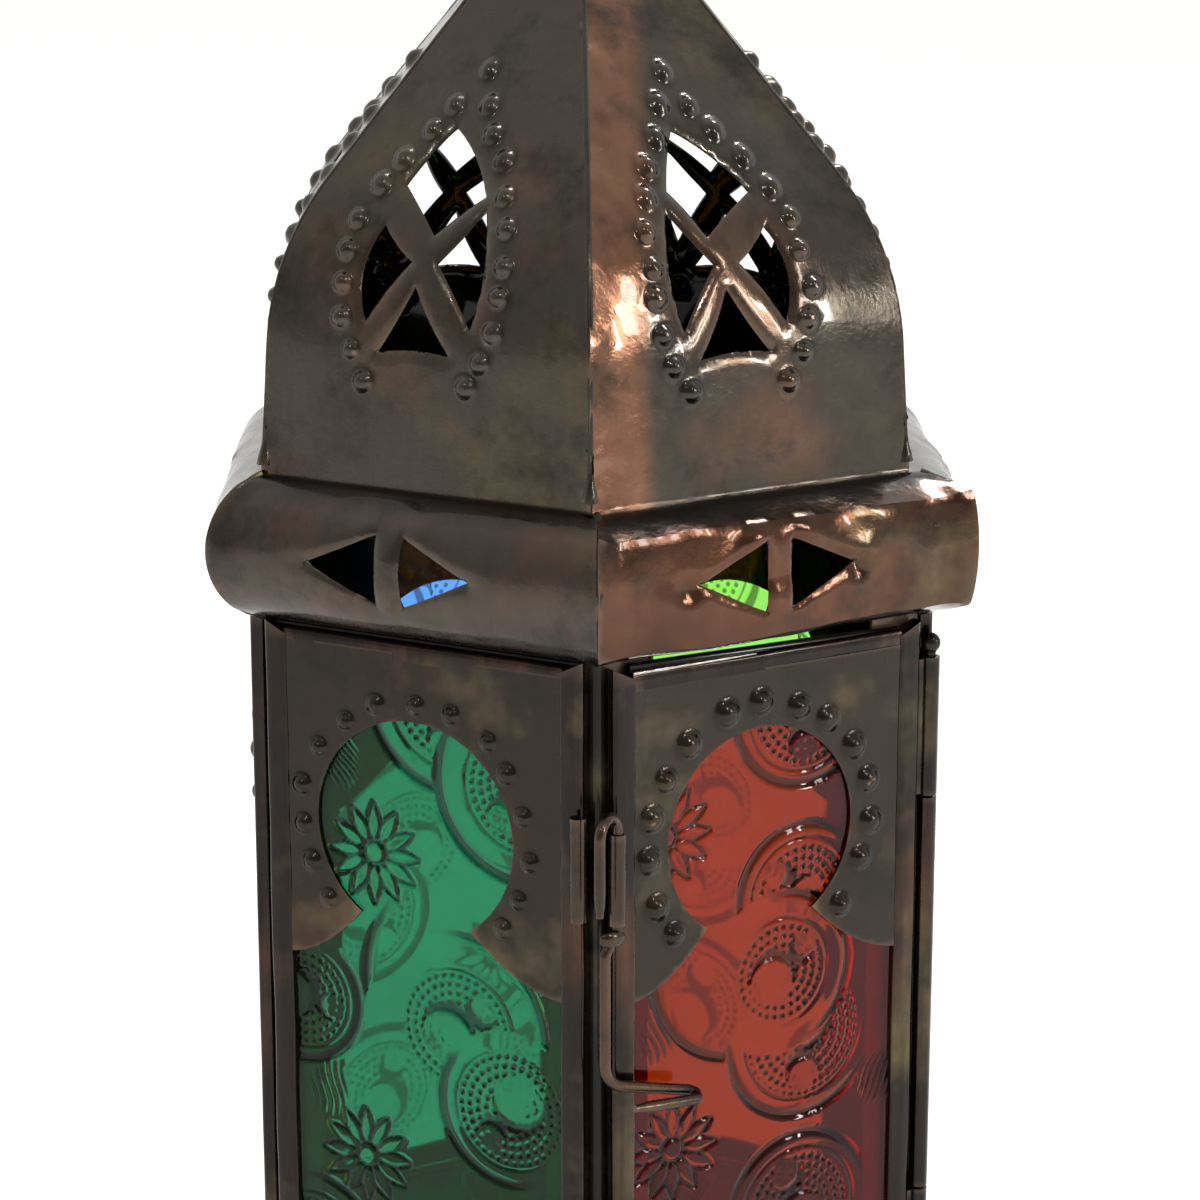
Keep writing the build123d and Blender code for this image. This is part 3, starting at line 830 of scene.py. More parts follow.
def panel_frame(name, normal, node, body):
    """Four folded strips round a pane: the sides run full height over the top and bottom ones."""
    (left, right), (back, front), (low, high) = spans(node, normal)
    if body == "door":
        high += DOOR_RISE
    depth = front - back
    half = SIDE_STRIP / 2
    shape = Shape()
    for number, u in enumerate((left + half, right - half)):
        strip(shape, normal, (u, low), (u, high), SIDE_STRIP, back, depth - 0.25 * MM,
              normal + number, slant=-0.5 if number else 0.5)
    for number, (z, width) in enumerate(((low + half, SIDE_STRIP), (high - TOP_STRIP / 2, TOP_STRIP))):
        strip(shape, normal, (left + STRIP_INNER, z), (right - STRIP_INNER, z), width, back,
              depth - 0.7 * MM, normal + 9 + number)
    shape.object(f"{name}_strips", STRIP_METAL, body, [node], 40)
    if body == "door":
        door_top(normal, left, right, back, front, high)
    else:
        solder_line(name, normal, left, right, back, high)


def door_top(normal, left, right, back, front, high):
    """Along the door's top edge: a near-black fold that paints the shade in the gap under the belt, and a
    nearly white line that paints a highlight.
    """
    # Painted shade: this fold is near black so that the gap under the belt reads dark.
    fold = Shape()
    strip(fold, normal, (left + STRIP_INNER, high + 0.4 * MM), (right - STRIP_INNER, high - 0.6 * MM),
          1.8 * MM, back + 0.2 * MM, 0.6 * MM, normal + 12)
    fold.object("door_fold_painted_shade", DARK_METAL, "door")

    # Painted highlight: a thin lumpy line of nearly white metal along the first part of the door's top
    # edge.
    def thickness(share):
        lump = noise.noise(Vector((share * 43, 2, 5)))
        return (0.10 + 0.30 * lump ** 2 + 0.16 * (1 - share)) * MM

    ends = [on_face(normal, u, front - 0.75 * MM, high - 0.05 * MM)
            for u in (left + STRIP_INNER, left + SIDE_STRIP * 6.5)]
    highlight_line = Shape()
    highlight_line.tube(densify(ends, 0.5 * MM), thickness, 8)
    highlight_line.object("door_painted_highlight_line", PAINTED_HIGHLIGHT_METAL, "door")


def solder_line(name, normal, left, right, back, high):
    """The solder between a fixed panel's top and the belt over it."""
    def thickness(share):
        return (0.5 + 0.12 * noise.noise(Vector((share * 20, normal, 0)))) * MM

    ends = [on_face(normal, u, back + 0.3 * MM, high + 0.2 * MM) for u in (left, right)]
    solder = Shape()
    solder.tube(densify(ends, 1.5 * MM), thickness, 10)
    solder.object(f"{name}_solder_line", DARK_METAL, "lantern")


KEYHOLE_U = -1.5 * MM
KEYHOLE_RADIUS = 17.2 * MM
KEYHOLE_Z = ROOF_Z - 53.8 * MM
NECK_HALF = 9.9 * MM
BEADS_ROUND_KEYHOLE = 15


def keyhole_mask(name, normal, node, body):
    """The sheet over the top of a pane, its lower edge cut to a keyhole ringed with beads. The
    green pane's keyhole is a little wider and its beads are smaller."""
    (left, right), (back, front), (low, high) = spans(node, normal)
    wider, bead_size = (0.6 * MM, 0.8) if name == "front_left" else (0, 1.0)
    radius = KEYHOLE_RADIUS + wider
    neck_angle = math.degrees(math.acos(NECK_HALF / radius))
    head = arc((KEYHOLE_U, KEYHOLE_Z), radius, -neck_angle, 180 + neck_angle, 56)
    neck_z = head[0][1]

    def flare(side_u, neck_u):
        return [(neck_u + (side_u - neck_u) * share, low + (neck_z - low) * (1 - share) ** 1.9)
                for share in (k / 16 for k in range(1, 16))]

    outline = ([(left, high), (left, low)] + flare(left, head[-1][0])[::-1] + head[::-1]
               + flare(right, head[0][0]) + [(right, low), (right, high)])
    rng = random.Random(normal + 3)
    beads = []
    for k in range(BEADS_ROUND_KEYHOLE):
        turn = math.radians(-42 + 264 * k / (BEADS_ROUND_KEYHOLE - 1) + rng.uniform(-2, 2))
        reach = (20.8 + rng.uniform(-0.5, 0.5)) * MM
        beads.append((KEYHOLE_U + reach * math.cos(turn), KEYHOLE_Z + reach * math.sin(turn),
                      rng.uniform(1.75, 2.1) * bead_size * MM, rng.uniform(1.25, 1.65) * bead_size * MM))
    rough = dents(normal, 26 * MM, 0.2 * MM, 9.3)

    def lift(points):
        calm = np.clip((points[:, 0] - left) / (4 * MM), 0, 1)
        calm *= np.clip((right - points[:, 0]) / (4 * MM), 0, 1)
        return np.maximum(rough(points), -0.02 * MM) * calm

    piece = pierced_sheet(f"{name}_keyhole_mask", outline, [], 1.2 * MM, beads, lift,
                          lambda u, z, lifted: on_face(normal, u, front + lifted, z), front - back)
    settle(piece, MASK_METAL, body, [node], 75)


# ---- Pressed glass ----

# The pattern is worked out in mm and is near one in its deepest lines.
SCALE_PITCH = 1.5
# The crescents in a medallion: where each lies and how far out, its size, and where it is thick.
# Angles are from the medallion's own turn, lengths are shares of its ring.
CRESCENTS = ((195, 0.22, 0.46, 60), (20, 0.62, 0.26, 215))


def groove(distance, width):
    """A soft-sided line, one at its middle and nothing a width away."""
    return np.exp(-(distance / width) ** 2)


def coin(field, u, z, centre, radius, ring, turn):
    """Lay a round medallion over the pattern: a deep rim at a radius, a thin ring, rows of scales
    within the ring and two crescents. The rim is deepest towards turn, in degrees, and fades out
    on the other side. A ring of zero gives the rim alone."""
    across, up = u - centre[0], z - centre[1]
    reach = np.hypot(across, up)
    angle = np.arctan2(up, across)
    facing = np.cos(angle - math.radians(turn))
    own = groove(reach - radius, 0.8) * np.clip(1.9 * facing - 0.1, 0, 1.3)
    if not ring:
        return np.maximum(field, own)
    own += 0.8 * groove(reach - ring, 0.26) * np.clip(0.6 + facing, 0, 1)
    row = np.round(reach / SCALE_PITCH)
    uneven = 0.35 * np.sin(reach * 1.7 + u * 0.9) + 0.3 * np.sin(angle * 7 + z * 0.8)
    along = angle * np.round(row * 2 * math.pi) / (2 * math.pi) + 0.5 * (row % 2)
    drop_up = (reach / SCALE_PITCH - row) * SCALE_PITCH
    drop_along = (along - np.round(along)) * SCALE_PITCH + 0.1 * uneven
    scales = (1.15 + 0.3 * uneven) * groove(np.hypot(1.25 * drop_up, drop_along), 0.46)
    scales *= (reach < ring - 0.7) * (reach > 1)
    for heading, distance, size, towards in CRESCENTS:
        place = math.radians(turn + heading)
        beside = across - distance * ring * math.cos(place)
        above = up - distance * ring * math.sin(place)
        gap = np.hypot(beside, above)
        side = np.cos(np.arctan2(above, beside) - math.radians(turn + towards))
        scales = np.where(gap < size * ring, scales * 0.12, scales)
        own += 1.2 * groove(gap - size * ring, 0.15 + 0.75 * np.clip(side, 0, 1) ** 2) * (side > -0.1)
    own += scales
    return np.where(reach < max(ring, radius) + 0.9, own, field)


def daisy(u, z, centre, radius, petals=12):
    """Pointed petals round a button, each drawn by two strokes."""
    across, up = u - centre[0], z - centre[1]
    reach = np.hypot(across, up)
    button = radius * 0.22
    turn = np.arctan2(up, across) * petals / (2 * math.pi)
    from_rib = np.abs(turn - np.round(turn)) * 2 * math.pi / petals * reach
    share = np.clip((reach - button) / (radius - button), 0, 1)
    half = radius * 0.15 * np.sin(math.pi * share ** 0.8)
    petal_edges = 1.15 * groove(from_rib - half, 0.34) * (reach < radius) * (reach > button)
    return petal_edges + 1.1 * groove(reach - button, 0.34)


def hatch(u, z, centre, size, lean):
    """A patch of nearly upright leaf veins."""
    across, up = u - centre[0], z - centre[1]
    fade = np.clip(1.4 - 1.4 * ((across / size) ** 2 + (up / (1.3 * size)) ** 2), 0, 1)
    wave = across + lean * up + 0.5 * np.sin(up * 0.6)
    return groove((wave / 1.3 - np.round(wave / 1.3)) * 1.3, 0.24) * fade


# Where the rolled pattern falls on the two kinds of pane, in mm from the face's middle and from
# the foot of the roof.
PRESSED = {
    "first": {"coins": [((5, -32), 14.6, 11, 240), ((17.6, -44.2), 15.2, 10.4, 215),
                        ((9.4, -79.3), 20.5, 0, 218), ((5.5, -85.6), 16, 10, 20),
                        ((-23.2, -85.2), 10.6, 8.6, 330), ((15.2, -97.5), 12.5, 10, 215),
                        ((-22, -128), 12, 9, 20), ((12, -133), 13, 10, 90)],
              "daisies": [((-9.2, -58.7), 8.6), ((-11.6, -110.4), 8.6)],
              "hatches": [((-15.5, -44), 4.2, 0.9), ((-19, -100), 4.2, 0.1), ((21, -72), 4.5, -0.5)]},
    "second": {"coins": [((7, -34.5), 12.8, 10.6, 250), ((6.5, -65.5), 11.4, 9.2, 120),
                         ((-4, -73.7), 17, 0, 235), ((7.4, -89.1), 13.9, 11.2, 250),
                         ((3, -78), 13, 9, 20), ((7, -119.5), 13.2, 10.8, 90),
                         ((-24, -128), 11, 8.8, 20)],
               "daisies": [((-18.6, -52), 8.6), ((-17, -104), 8.6)],
               "hatches": [((-20, -84), 4.2, 0.3), ((22, -100), 4.2, -0.6)]},
}
PANES = {"front_left": ("green", "first"), "front_right": ("red", "second"), "right": ("amber", "first"),
         "back_right": ("lime", "second"), "back_left": ("blue", "first"), "left": ("amber", "second")}
PANE_STEP = 0.30 * MM
RELIEF = 0.34 * MM


def pressed_pattern(u, z, pattern):
    """The depth of the relief for arrays of u and z."""
    field = np.zeros_like(u)
    for centre, radius in pattern["daisies"]:
        field = np.maximum(field, daisy(u, z, centre, radius))
    for centre, size, lean in pattern["hatches"]:
        field = np.maximum(field, hatch(u, z, centre, size, lean))
    for centre, radius, ring, turn in pattern["coins"]:
        field = coin(field, u, z, centre, radius, ring, turn)
    return np.clip(field, 0, 1.3)


def glass_pane(name, normal, node, body):
    """A pane with the pattern pressed into its outer face."""
    (left, right), (back, front), (low, high) = spans(node, normal)
    colour, pattern = PANES[name]
    columns, rows = round((right - left) / PANE_STEP) + 1, round((high - low) / PANE_STEP) + 1
    u, z = np.meshgrid(np.linspace(left, right, columns), np.linspace(low, high, rows))
    depth = pressed_pattern(u / MM, (z - ROOF_Z) / MM, PRESSED[pattern])
    border = np.minimum.reduce([u - left, right - u, z - low, high - z])
    depth = np.where(border < 0.5 * MM, 0, depth)
    away = front - 0.02 * MM - RELIEF * depth
    points = [on_face(normal, *spot) for spot in zip(u.ravel(), away.ravel(), z.ravel())]
    faces = [(k, k + 1, k + columns + 1, k + columns)
             for row in range(rows - 1) for k in range(row * columns, (row + 1) * columns - 1)]
    rim = (list(range(columns)) + [row * columns + columns - 1 for row in range(1, rows)]
           + [(rows - 1) * columns + column for column in range(columns - 2, -1, -1)]
           + [row * columns for row in range(rows - 2, 0, -1)])
    start = len(points)
    for index in rim:
        row, column = divmod(index, columns)
        points.append(on_face(normal, u[row, column], back, z[row, column]))
    for k in range(len(rim)):
        after = (k + 1) % len(rim)
        faces.append((rim[k], start + k, start + after, rim[after]))
    faces.append(tuple(reversed(range(start, start + len(rim)))))
    shape = Shape()
    shape.add(points, faces)
    pane = shape.object(f"{name}_pressed_glass", GLASS[colour], body, [node], 60)
    relief = pane.data.attributes.new("relief", "FLOAT", "POINT")
    relief.data.foreach_set("value", np.append(depth.ravel(), np.zeros(len(rim))).astype(np.float32))


# ---- Posts, hinge and latch ----

def bent_post(name, corner):
    """A strip bent along its middle to the corner's angle, seen in the gap between two panels."""
    node = f"post_{name}"
    low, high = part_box(node)[0].z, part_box(node)[1].z
    out, side = directions(corner)
    apex = max(vertex.co.dot(out) for vertex in frame["nodes"][node].data.vertices)
    bend, leg = 1.4 * MM, 8.2 * MM
    thick = SHEET - 0.04 * MM

    def line(inset):
        centre = apex - 0.03 * MM - bend * 2 / math.sqrt(3)
        points = [(x, centre + y) for x, y in arc((0, 0), bend - inset, 60, 120, 8)]
        first, last = points[0], points[-1]
        start = (first[0] + leg * COS30, first[1] - leg * 0.5)
        end = (last[0] - leg * COS30, last[1] - leg * 0.5)
        return [start] + points + [end]

    section = line(0.0) + list(reversed(line(thick)))
    sections = []
    for k in range(31):
        z = low + (high - low) * k / 30
        sway = 0.12 * MM * noise.noise(Vector((z * 70, corner, 0)))
        sections.append([out * (d - abs(sway)) + side * x + Vector((0, 0, z)) for x, d in section])
    shape = Shape()
    shape.loft(sections)
    shape.object(f"bent_post_{name}", DARK_METAL, "lantern", [node], 40)


def rolled_tube(shape, x, y, low, high, outer, inner, slit, seed):
    """A tube rolled from sheet, its edges not quite meeting at slit, in degrees."""
    centre = Vector((x, y, 0))
    gap = 9
    sections = []
    count = max(5, round((high - low) / (2 * MM)))
    for k in range(count + 1):
        z = low + (high - low) * k / count
        uneven = 0.05 * MM * noise.noise(Vector((z * 150, seed, 0)))
        around = (arc((0, 0), outer + min(uneven, 0), slit + gap, slit + 360 - gap, 26)
                  + list(reversed(arc((0, 0), inner, slit + gap, slit + 360 - gap, 26))))
        ends = 0.25 * MM * noise.noise(Vector((seed, 3, 0))) if k in (0, count) else 0
        sections.append([centre + Vector((px, py, z - abs(ends) * (1 if k else -1)))
                         for px, py in around])
    shape.loft(sections)


def leaf(shape, normal, near, far, away, low, high, thickness):
    """A flat tab from a panel's edge to its hinge tube, with softened edges."""
    section = [(x, y - thickness / 2) for x, y in pill(far - near, thickness, 0, thickness * 0.35)]
    middle = (near + far) / 2
    sections = []
    for k in range(9):
        z = low + (high - low) * k / 8
        sections.append([on_face(normal, middle + x, away + y, z) for x, y in section])
    shape.loft(sections)


def hinge_tubes():
    """Two tubes on the door and one on the panel beside it, round one wire pin."""
    outer, inner = 1.53 * MM, 1.0 * MM
    frame_edge = spans("door_frame", DOOR_FACE)[0][1]
    axis_away, axis_u = (HINGE.dot(direction) for direction in directions(DOOR_FACE))
    for level, normal, body in (("upper", DOOR_FACE, "door"), ("middle", FACES["right"], "lantern"),
                                ("lower", DOOR_FACE, "door")):
        node = f"hinge_tube_{level}"
        low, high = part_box(node)[0].z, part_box(node)[1].z
        shape = Shape()
        slit = 200 if body == "door" else 100
        rolled_tube(shape, HINGE.x, HINGE.y, low, high, outer, inner, slit, high * 100)
        near, far = frame_edge, axis_u - inner - 0.1 * MM
        if body == "lantern":
            near, far = -far, -near
        leaf(shape, normal, near, far, axis_away, low + 0.3 * MM, high - 0.3 * MM, 0.75 * MM)
        shape.object(f"rolled_hinge_{level}", STRIP_METAL, body, [node], 40)


def hinge_pin():
    """The pin, closed at the top by a lump of dark solder."""
    low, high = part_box("hinge_pin")[0].z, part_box("hinge_pin")[1].z
    ball = 1.62 * MM
    profile = [(0, low), (0.7 * MM, low), (0.88 * MM, low + 0.2 * MM)]
    profile += [(0.88 * MM, high - 2 * ball - 0.2 * MM)]
    profile += arc((0, high - ball), ball, -50, 80, 13)
    profile += [(0, high)]
    shape = Shape()
    shape.revolve(profile, (HINGE.x, HINGE.y, 0), 24, wobble=0.12 * MM)
    shape.object("soldered_hinge_pin", DARK_METAL, "lantern", ["hinge_pin"])


def latch_tubes():
    """The tube on the door that the wire turns in, and its empty partner on the fixed panel."""
    for node, normal, body, slit in (("latch_tube_door", DOOR_FACE, "door", 120),
                                     ("latch_tube_frame", FACES["front_left"], "lantern", 60)):
        (left, right), (back, front), (low, high) = spans(node, normal)
        outer = 1.35 * MM
        away = front - outer
        on_door = body == "door"
        u = left + outer if on_door else right - outer
        centre = on_face(normal, u, away, 0)
        shape = Shape()
        rolled_tube(shape, centre.x, centre.y, low, high, outer - 0.02 * MM, 1.0 * MM, slit, high * 70)
        tab = (u + 0.1 * MM, right) if on_door else (left, u - 0.1 * MM)
        leaf(shape, normal, *tab, (back + away - 1.0 * MM) / 2, low + 0.4 * MM, high - 0.4 * MM,
             away - 1.0 * MM - back)
        shape.object(f"rolled_{node}", WIRE_METAL, body, [node], 40)


def by_latch(u, away, z):
    """A point beside the latch's axis: u and away in mm, z in metres."""
    out, side = directions(DOOR_FACE)
    return on_face(DOOR_FACE, LATCH.dot(side) + u * MM, LATCH.dot(out) + away * MM, z)


def latch_wire():
    """The bent wire: hook leg, bend, shank and finger loop."""
    tube_low, tube_high = spans("latch_tube_door", DOOR_FACE)[2]
    wire_low, wire_high = spans("latch_wire", DOOR_FACE)[2]
    spacing, radius = 5.7 * MM, 0.9 * MM
    top_z = wire_high - radius - spacing / 2
    axis = Vector((LATCH.x, LATCH.y, 0))
    leg = axis + spacing * directions(FACES["front_left"])[0]
    leg_low = tube_high - 11.7 * MM
    path = [leg + Vector((0, 0, leg_low)), leg + Vector((0, 0, top_z))]
    for k in range(1, 12):
        angle = math.pi * k / 12
        spot = leg.lerp(axis, (1 - math.cos(angle)) / 2)
        path.append(spot + Vector((0, 0, top_z + spacing / 2 * math.sin(angle))))
    loop_z = wire_low + radius
    corners = [by_latch(0, 0, top_z), by_latch(0, 0, tube_low - 0.9 * MM),
               by_latch(-2.6, 0.6, tube_low - 4.1 * MM), by_latch(-2.6, 0.6, loop_z + 4.7 * MM),
               by_latch(12.6, 0.7, loop_z + 0.7 * MM), by_latch(13.4, 1.6, loop_z + 0.4 * MM),
               by_latch(12.9, 3.0, loop_z), by_latch(1.2, 3.3, loop_z + 0.9 * MM)]
    path += rounded_path(corners, [r * MM for r in (1.6, 1.6, 4.5, 0.4, 0.5, 0.5)])
    path = densify(path, 1.2 * MM)
    shape = Shape()

    def size(share):
        nip = 0.35 * math.exp(-(share / 0.012) ** 2) + 0.35 * math.exp(-((1 - share) / 0.012) ** 2)
        return radius * (1 - nip - 0.04 * abs(noise.noise(Vector((share * 30, 2, 0)))))

    shape.tube(path, size, 18)
    shape.object("bent_latch_wire", WIRE_METAL, "latch", ["latch_wire"], 40)


def latch_solder():
    """A flattened lump of solder on the wire under the door's tube."""
    tube_low = spans("latch_tube_door", DOOR_FACE)[2][0]
    middle = by_latch(-1.2, 0.35, tube_low - 1.9 * MM)
    out, side = directions(DOOR_FACE)
    wide, deep, tall = 2.2 * MM, 1.15 * MM, 2.6 * MM
    sections = []
    for k in range(11):
        share = k / 10
        girth = math.sin(math.pi * (0.06 + 0.88 * share)) ** 0.35
        loop = []
        for x, y in arc((0, 0), 1, 0, 342, 19):
            size = girth * (1 + 0.10 * noise.noise(Vector((x, y, share * 3))))
            loop.append(middle + side * x * wide * size + out * y * deep * size
                        + Vector((0, 0, (share - 0.5) * tall)))
        sections.append(loop)
    patch = Shape()
    patch.loft(sections)
    patch.object("latch_solder_patch", WIRE_METAL, "latch", (), 50)


# ---- Top, base and cup ----

def roof_cap():
    """The spun cap over the tips of the roof sheets, hollow underneath."""
    low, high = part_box("roof_cap")
    foot, crown = high.x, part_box("finial")[0].z
    sheet = 0.8 * MM
    outer, shoulder = [], 5.5 * MM
    for k in range(13):
        share = k / 12
        outer.append((foot + (shoulder - foot) * share - 0.45 * MM * math.sin(math.pi * share),
                      low.z + (crown - low.z) * share))
    lower = [(radius - 1.02 * MM, z) for radius, z in outer if radius > 2 * sheet]
    profile = [(0, crown - sheet)] + list(reversed(lower))
    profile += [(foot - 0.5 * MM, low.z), (foot - 0.1 * MM, low.z + 0.1 * MM)] + outer[1:] + [(0, crown)]
    cap = Shape()
    cap.revolve(profile, turns=60, wobble=0.25 * MM)
    cap.object("spun_roof_cap", ROOF_METAL, "lantern", ["roof_cap"], 40)


def finial():
    """A turned knob: a stepped foot and a ball."""
    (_, _, base), (ball, _, top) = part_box("finial")
    profile = [(0, base), (4.7 * MM, base), (4.8 * MM, base + 0.4 * MM), (3.6 * MM, base + 1.2 * MM),
               (3.0 * MM, base + 2.2 * MM)]
    profile += arc((0, base + 6.9 * MM), ball, -52, 44, 16)
    profile += [(2.9 * MM, top), (0, top)]
    knob = Shape()
    knob.revolve(profile, turns=48, wobble=0.2 * MM, seed=4)
    knob.object("turned_finial", COPPER_BELT, "lantern", ["finial"], 40)


def ring_eye():
    """A wire eye on a short stem."""
    radius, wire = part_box("ring_eye")[1].y - 0.9 * MM, 0.88 * MM
    eye = Shape()
    eye.tube([EYE + Vector((0, y, z)) for y, z in arc((0, 0), radius, 0, 351, 39)], wire, 14, closed=True)
    stem = [Vector((0, 0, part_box("finial")[1].z + 0.02 * MM)), Vector((0, 0, EYE.z - radius))]
    eye.tube(densify(stem, 0.4 * MM), lambda share: (1.55 - 0.5 * share) * MM, 16)
    eye.object("wire_eye", WIRE_METAL, "lantern", ["ring_eye"], 45)


def hanging_ring():
    """The ring, lying back on the roof and not quite round."""
    low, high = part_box("hanging_ring")
    wire = 1.4 * MM
    radius = high.x - wire
    lean = math.atan2((high.z - low.z) / 2 - wire, (high.y + low.y) / 2)
    away = Vector((0, math.cos(lean), -math.sin(lean)))
    circle = []
    for x, y in arc((0, 0), 1, 0, 356.25, 95):
        uneven = 1 - 0.006 * (1 + noise.noise(Vector((x, y, 0)) * 1.5))
        circle.append(EYE + away * radius + (Vector((1, 0, 0)) * y - away * x) * radius * uneven)
    ring = Shape()
    ring.tube(circle, 0.97 * wire, 18, closed=True)
    ring.object("wire_ring", WIRE_METAL, "ring", ["hanging_ring"], 50)


def floor_plate():
    """The hexagonal floor, slightly dished."""
    low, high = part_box("floor_plate")
    hexagon = arc((0, 0), (high.x - 0.05 * MM) / COS30, 30, 330, 5)
    rough = dents(0, 30 * MM, 0.25 * MM, 5.5)
    plate = pierced_sheet("dished_floor_plate", hexagon, [], 4 * MM, [],
                          lambda points: np.minimum(rough(points), 0),
                          lambda x, y, lifted: Vector((x, y, high.z + lifted)),
                          high.z - low.z - 0.1 * MM)
    settle(plate, DARK_METAL, "lantern", ["floor_plate"], 35)


def domed_feet():
    """Six low studs under the corners."""
    shape = Shape()
    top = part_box("feet")[1].z
    reach = 56.5 * MM
    profile = [(0, 0), (2.4 * MM, 0), (3.5 * MM, 0.5 * MM), (4.2 * MM, 1.4 * MM), (4.5 * MM, 2.4 * MM),
               (4.3 * MM, 3.2 * MM), (3.9 * MM, top), (0, top)]
    for angle in CORNERS.values():
        centre = directions(angle)[0] * reach
        shape.revolve(profile, centre, 28, wobble=0.15 * MM, seed=angle)
    shape.object("domed_feet", BELT_METAL, "lantern", ["feet"], 45)


def candle_cup():
    """A cup with a rolled rim that takes a tealight."""
    wall, sheet, roll = 21 * MM, 0.8 * MM, 0.9 * MM
    floor_z, rim_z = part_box("candle_cup")[0].z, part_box("candle_cup")[1].z - roll
    profile = [(0, floor_z), (wall - 1.2 * MM, floor_z), (wall - 0.3 * MM, floor_z + 0.4 * MM),
               (wall, floor_z + 1.4 * MM)]
    profile += [(wall, floor_z + (rim_z - floor_z) * share) for share in (0.3, 0.5, 0.7, 0.9)]
    profile += arc((wall + 0.3 * MM, rim_z), roll, -60, 180, 12)
    profile += [(wall - sheet, rim_z - 1 * MM), (wall - sheet, floor_z + 1.6 * MM),
                (wall - 1.6 * MM, floor_z + sheet), (0, floor_z + sheet)]
    cup = Shape()
    cup.revolve(profile, turns=64, wobble=0.15 * MM)
    cup.object("rolled_candle_cup", DARK_METAL, "lantern", ["candle_cup"], 40)


# ---- The materials of this lantern ----

ROOF_METAL = lacquered_metal("roof_lacquer", 0.14, 1.0)
SIDE_METAL = lacquered_metal("roof_lacquer_copper", 0.18, 2.0, base=(0.056, 0.046, 0.034),
                             gloss=0.4, rough=(0.13, 0.27),
                             bands=[(round_window, (0.110, 0.058, 0.034)),
                                    (beside_hip, BRIGHT_COPPER)])
SEAM_METAL = lacquered_metal("seam_lacquer", 0.10, 3.0, base=(0.045, 0.038, 0.030),
                             paint_inner_shade=False)
BELT_METAL = lacquered_metal("belt_lacquer", 0.45, 4.0, base=(0.068, 0.052, 0.040),
                             accent=(0.120, 0.062, 0.040), bands=[(shade_under_eave, SOOT_AND_SHADE)])
COPPER_BELT = lacquered_metal("belt_lacquer_copper", 0.70, 5.0, base=(0.044, 0.018, 0.009),
                              accent=(0.108, 0.042, 0.020), gloss=0.3, rough=(0.11, 0.24),
                              bands=[(shade_under_eave, SOOT_AND_SHADE)])
MASK_METAL = lacquered_metal("mask_lacquer", 0.32, 6.0, base=(0.025, 0.019, 0.013),
                             accent=(0.066, 0.026, 0.016), rough=(0.16, 0.32), gloss=0.25)
STRIP_METAL = lacquered_metal("strip_lacquer", 0.45, 7.0, base=(0.018, 0.012, 0.009),
                              accent=(0.100, 0.046, 0.027), rough=(0.15, 0.33), streaks=0.85,
                              gloss=0.25)
# Nearly white metal for the line on the door's top edge, a painted highlight.
PAINTED_HIGHLIGHT_METAL = lacquered_metal("painted_highlight_metal", 0.05, 13.0, base=(0.62, 0.58, 0.52),
                                accent=PALE_COPPER, rough=(0.12, 0.25), paint_inner_shade=False)
WIRE_METAL = lacquered_metal("wire_lacquer", 0.60, 9.0, base=(0.052, 0.034, 0.022),
                             rough=(0.20, 0.36), streaks=0.6, paint_inner_shade=False)
# Near black: partly blackened metal and partly painted shade, for parts inside the lantern and in the
# gaps between panels.
DARK_METAL = lacquered_metal("dark_lacquer_and_shade", 0.02, 11.0, base=(0.010, 0.009, 0.008), accent=SOOT_AND_SHADE,
                             rough=(0.4, 0.6))
GLASS = {
    "green": stained_glass("pressed_green", (0.055, 0.52, 0.088), (0.045, 0.47, 0.080)),
    "lime": stained_glass("pressed_lime", (0.24, 0.70, 0.10), (0.21, 0.64, 0.09)),
    "blue": stained_glass("pressed_blue", (0.10, 0.33, 0.86), (0.08, 0.28, 0.80)),
    "red": stained_glass("pressed_red", (0.82, 0.026, 0.020), (0.77, 0.022, 0.017)),
    "amber": stained_glass("pressed_amber", (0.80, 0.34, 0.045), (0.72, 0.28, 0.035)),
}


# ---- Stage, light and camera ----

def stage():
    """A pale floor that runs far past the lantern."""
    bpy.ops.mesh.primitive_plane_add(size=30, location=(0, 0, -0.0002))
    floor = bpy.context.active_object
    floor.name = "studio_floor"
    nodes = Nodes("studio_floor")
    nodes.set(Base_Color=(0.93, 0.93, 0.92), Roughness=0.7, Emission_Color=(1, 1, 0.99),
              Emission_Strength=0.25)
    floor.data.materials.append(nodes.material)
    floor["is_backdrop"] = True


def world_light():
    """A white room that is dimmer behind the camera, shown plain white to the camera itself."""
    world = bpy.data.worlds.new("studio")
    bpy.context.scene.world = world
    world.use_nodes = True
    tree = world.node_tree
    background = tree.nodes["Background"]
    background.inputs["Color"].default_value = (1, 1, 0.985, 1)
    heading = tree.nodes.new("ShaderNodeTexCoord")
    split = tree.nodes.new("ShaderNodeSeparateXYZ")
    tree.links.new(heading.outputs["Generated"], split.inputs["Vector"])
    depth = tree.nodes.new("ShaderNodeMapRange")
    for name, value in (("From Min", -0.85), ("From Max", 0.35), ("To Min", 0.30), ("To Max", 1.05)):
        depth.inputs[name].default_value = value
    tree.links.new(split.outputs["Y"], depth.inputs["Value"])
    path = tree.nodes.new("ShaderNodeLightPath")
    seen = tree.nodes.new("ShaderNodeMix")
    tree.links.new(path.outputs["Is Camera Ray"], seen.inputs["Factor"])
    tree.links.new(depth.outputs["Result"], seen.inputs["A"])
    seen.inputs["B"].default_value = 1.05
    tree.links.new(seen.outputs["Result"], background.inputs["Strength"])


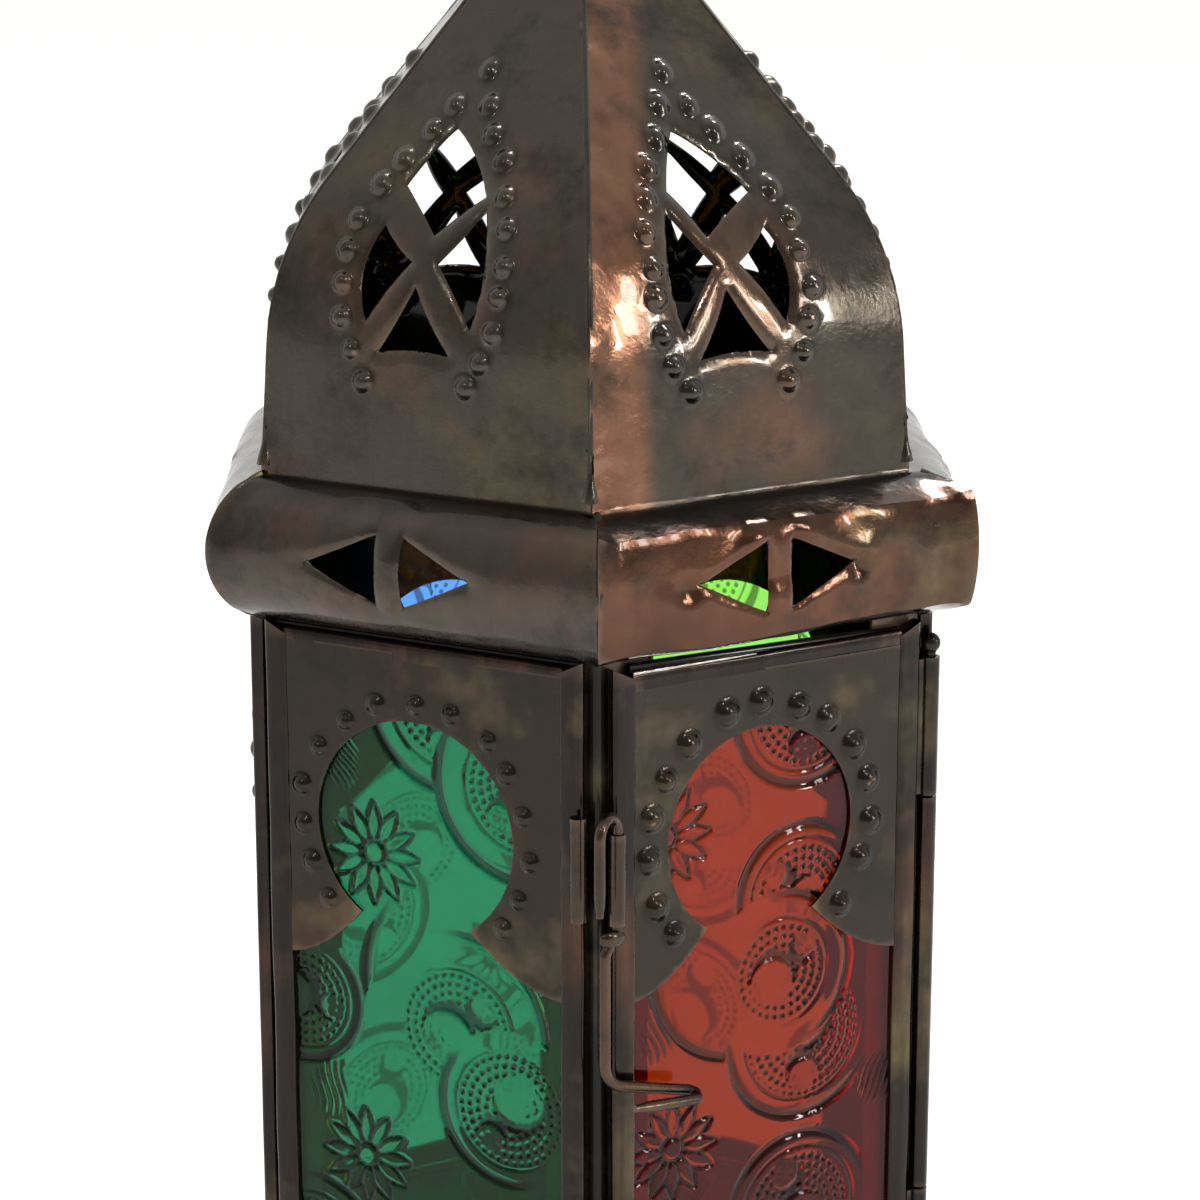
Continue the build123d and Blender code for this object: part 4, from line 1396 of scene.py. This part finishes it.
def soft_box(name, spot, size, power):
    """A rectangular lamp that points at the foot of the roof."""
    light = bpy.data.lights.new(name, "AREA")
    light.shape = "RECTANGLE"
    light.size, light.size_y = size
    light.energy = power
    lamp = bpy.data.objects.new(name, light)
    bpy.context.scene.collection.objects.link(lamp)
    lamp.location = spot
    towards = Vector((0, 0, ROOF_Z)) - Vector(spot)
    lamp.rotation_euler = towards.to_track_quat("-Z", "Y").to_euler()


def camera():
    """A long lens a little above the roof's eave, looking down at the panes."""
    yaw, pitch = math.radians(-1.53), math.radians(14.39)
    stand = Matrix.Rotation(yaw, 4, "Z") @ Vector((2.0 * MM, -563.3 * MM, ROOF_Z + 116.1 * MM))
    data = bpy.data.cameras.new("camera")
    data.lens = 104.14
    data.sensor_width = 36
    data.clip_start = 0.01
    view = bpy.data.objects.new("camera", data)
    view.location = stand
    view.rotation_euler = (math.pi / 2 - pitch, 0, yaw)
    bpy.context.scene.collection.objects.link(view)
    bpy.context.scene.camera = view


bpy.context.scene.view_settings.view_transform = "Standard"
camera()
stage()
world_light()
soft_box("overhead", (0.42, 0.50, 1.20), (0.30, 0.24), 7)
soft_box("right_strip", (0.85, -0.58, 0.50), (0.07, 0.4), 2.2)
soft_box("shoulder_strip", (0.94, -0.49, 0.36), (0.035, 0.22), 1.2)
soft_box("left_spark", (-0.35, -0.75, 1.00), (0.05, 0.05), 0.9)
soft_box("right_spark", (0.45, -0.75, 0.95), (0.06, 0.06), 1.4)

for face, face_normal in FACES.items():
    is_door = face_normal == DOOR_FACE
    stem = "door" if is_door else face
    owner = "door" if is_door else "lantern"
    upper_metal, squareness = (COPPER_BELT, 0.75) if is_door else (BELT_METAL, 0.1)
    roof_sheet(face, face_normal)
    belt_sheet(face, face_normal, BELT_MIDDLE, True, "belt", upper_metal, squareness)
    belt_sheet(face, face_normal, sum(BASE_UP) / 2, False, "base_belt", BELT_METAL, 0.15)
    panel_frame(face, face_normal, f"{stem}_frame", owner)
    keyhole_mask(face, face_normal, f"{stem}_mask", owner)
    glass_pane(face, face_normal, f"{stem}_glass", owner)
for corner_name, corner_angle in CORNERS.items():
    roof_seam(corner_name, corner_angle)
    belt_seam(corner_name, corner_angle, BELT_MIDDLE, "belt")
    belt_seam(corner_name, corner_angle, sum(BASE_UP) / 2, "base_belt")
    bent_post(corner_name, corner_angle)
for build in (hinge_tubes, hinge_pin, latch_tubes, latch_wire, latch_solder, roof_cap, finial, ring_eye,
              hanging_ring, floor_plate, domed_feet, candle_cup):
    build()

[[list(corner) for corner in box] for box in (cad_bounds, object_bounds())]
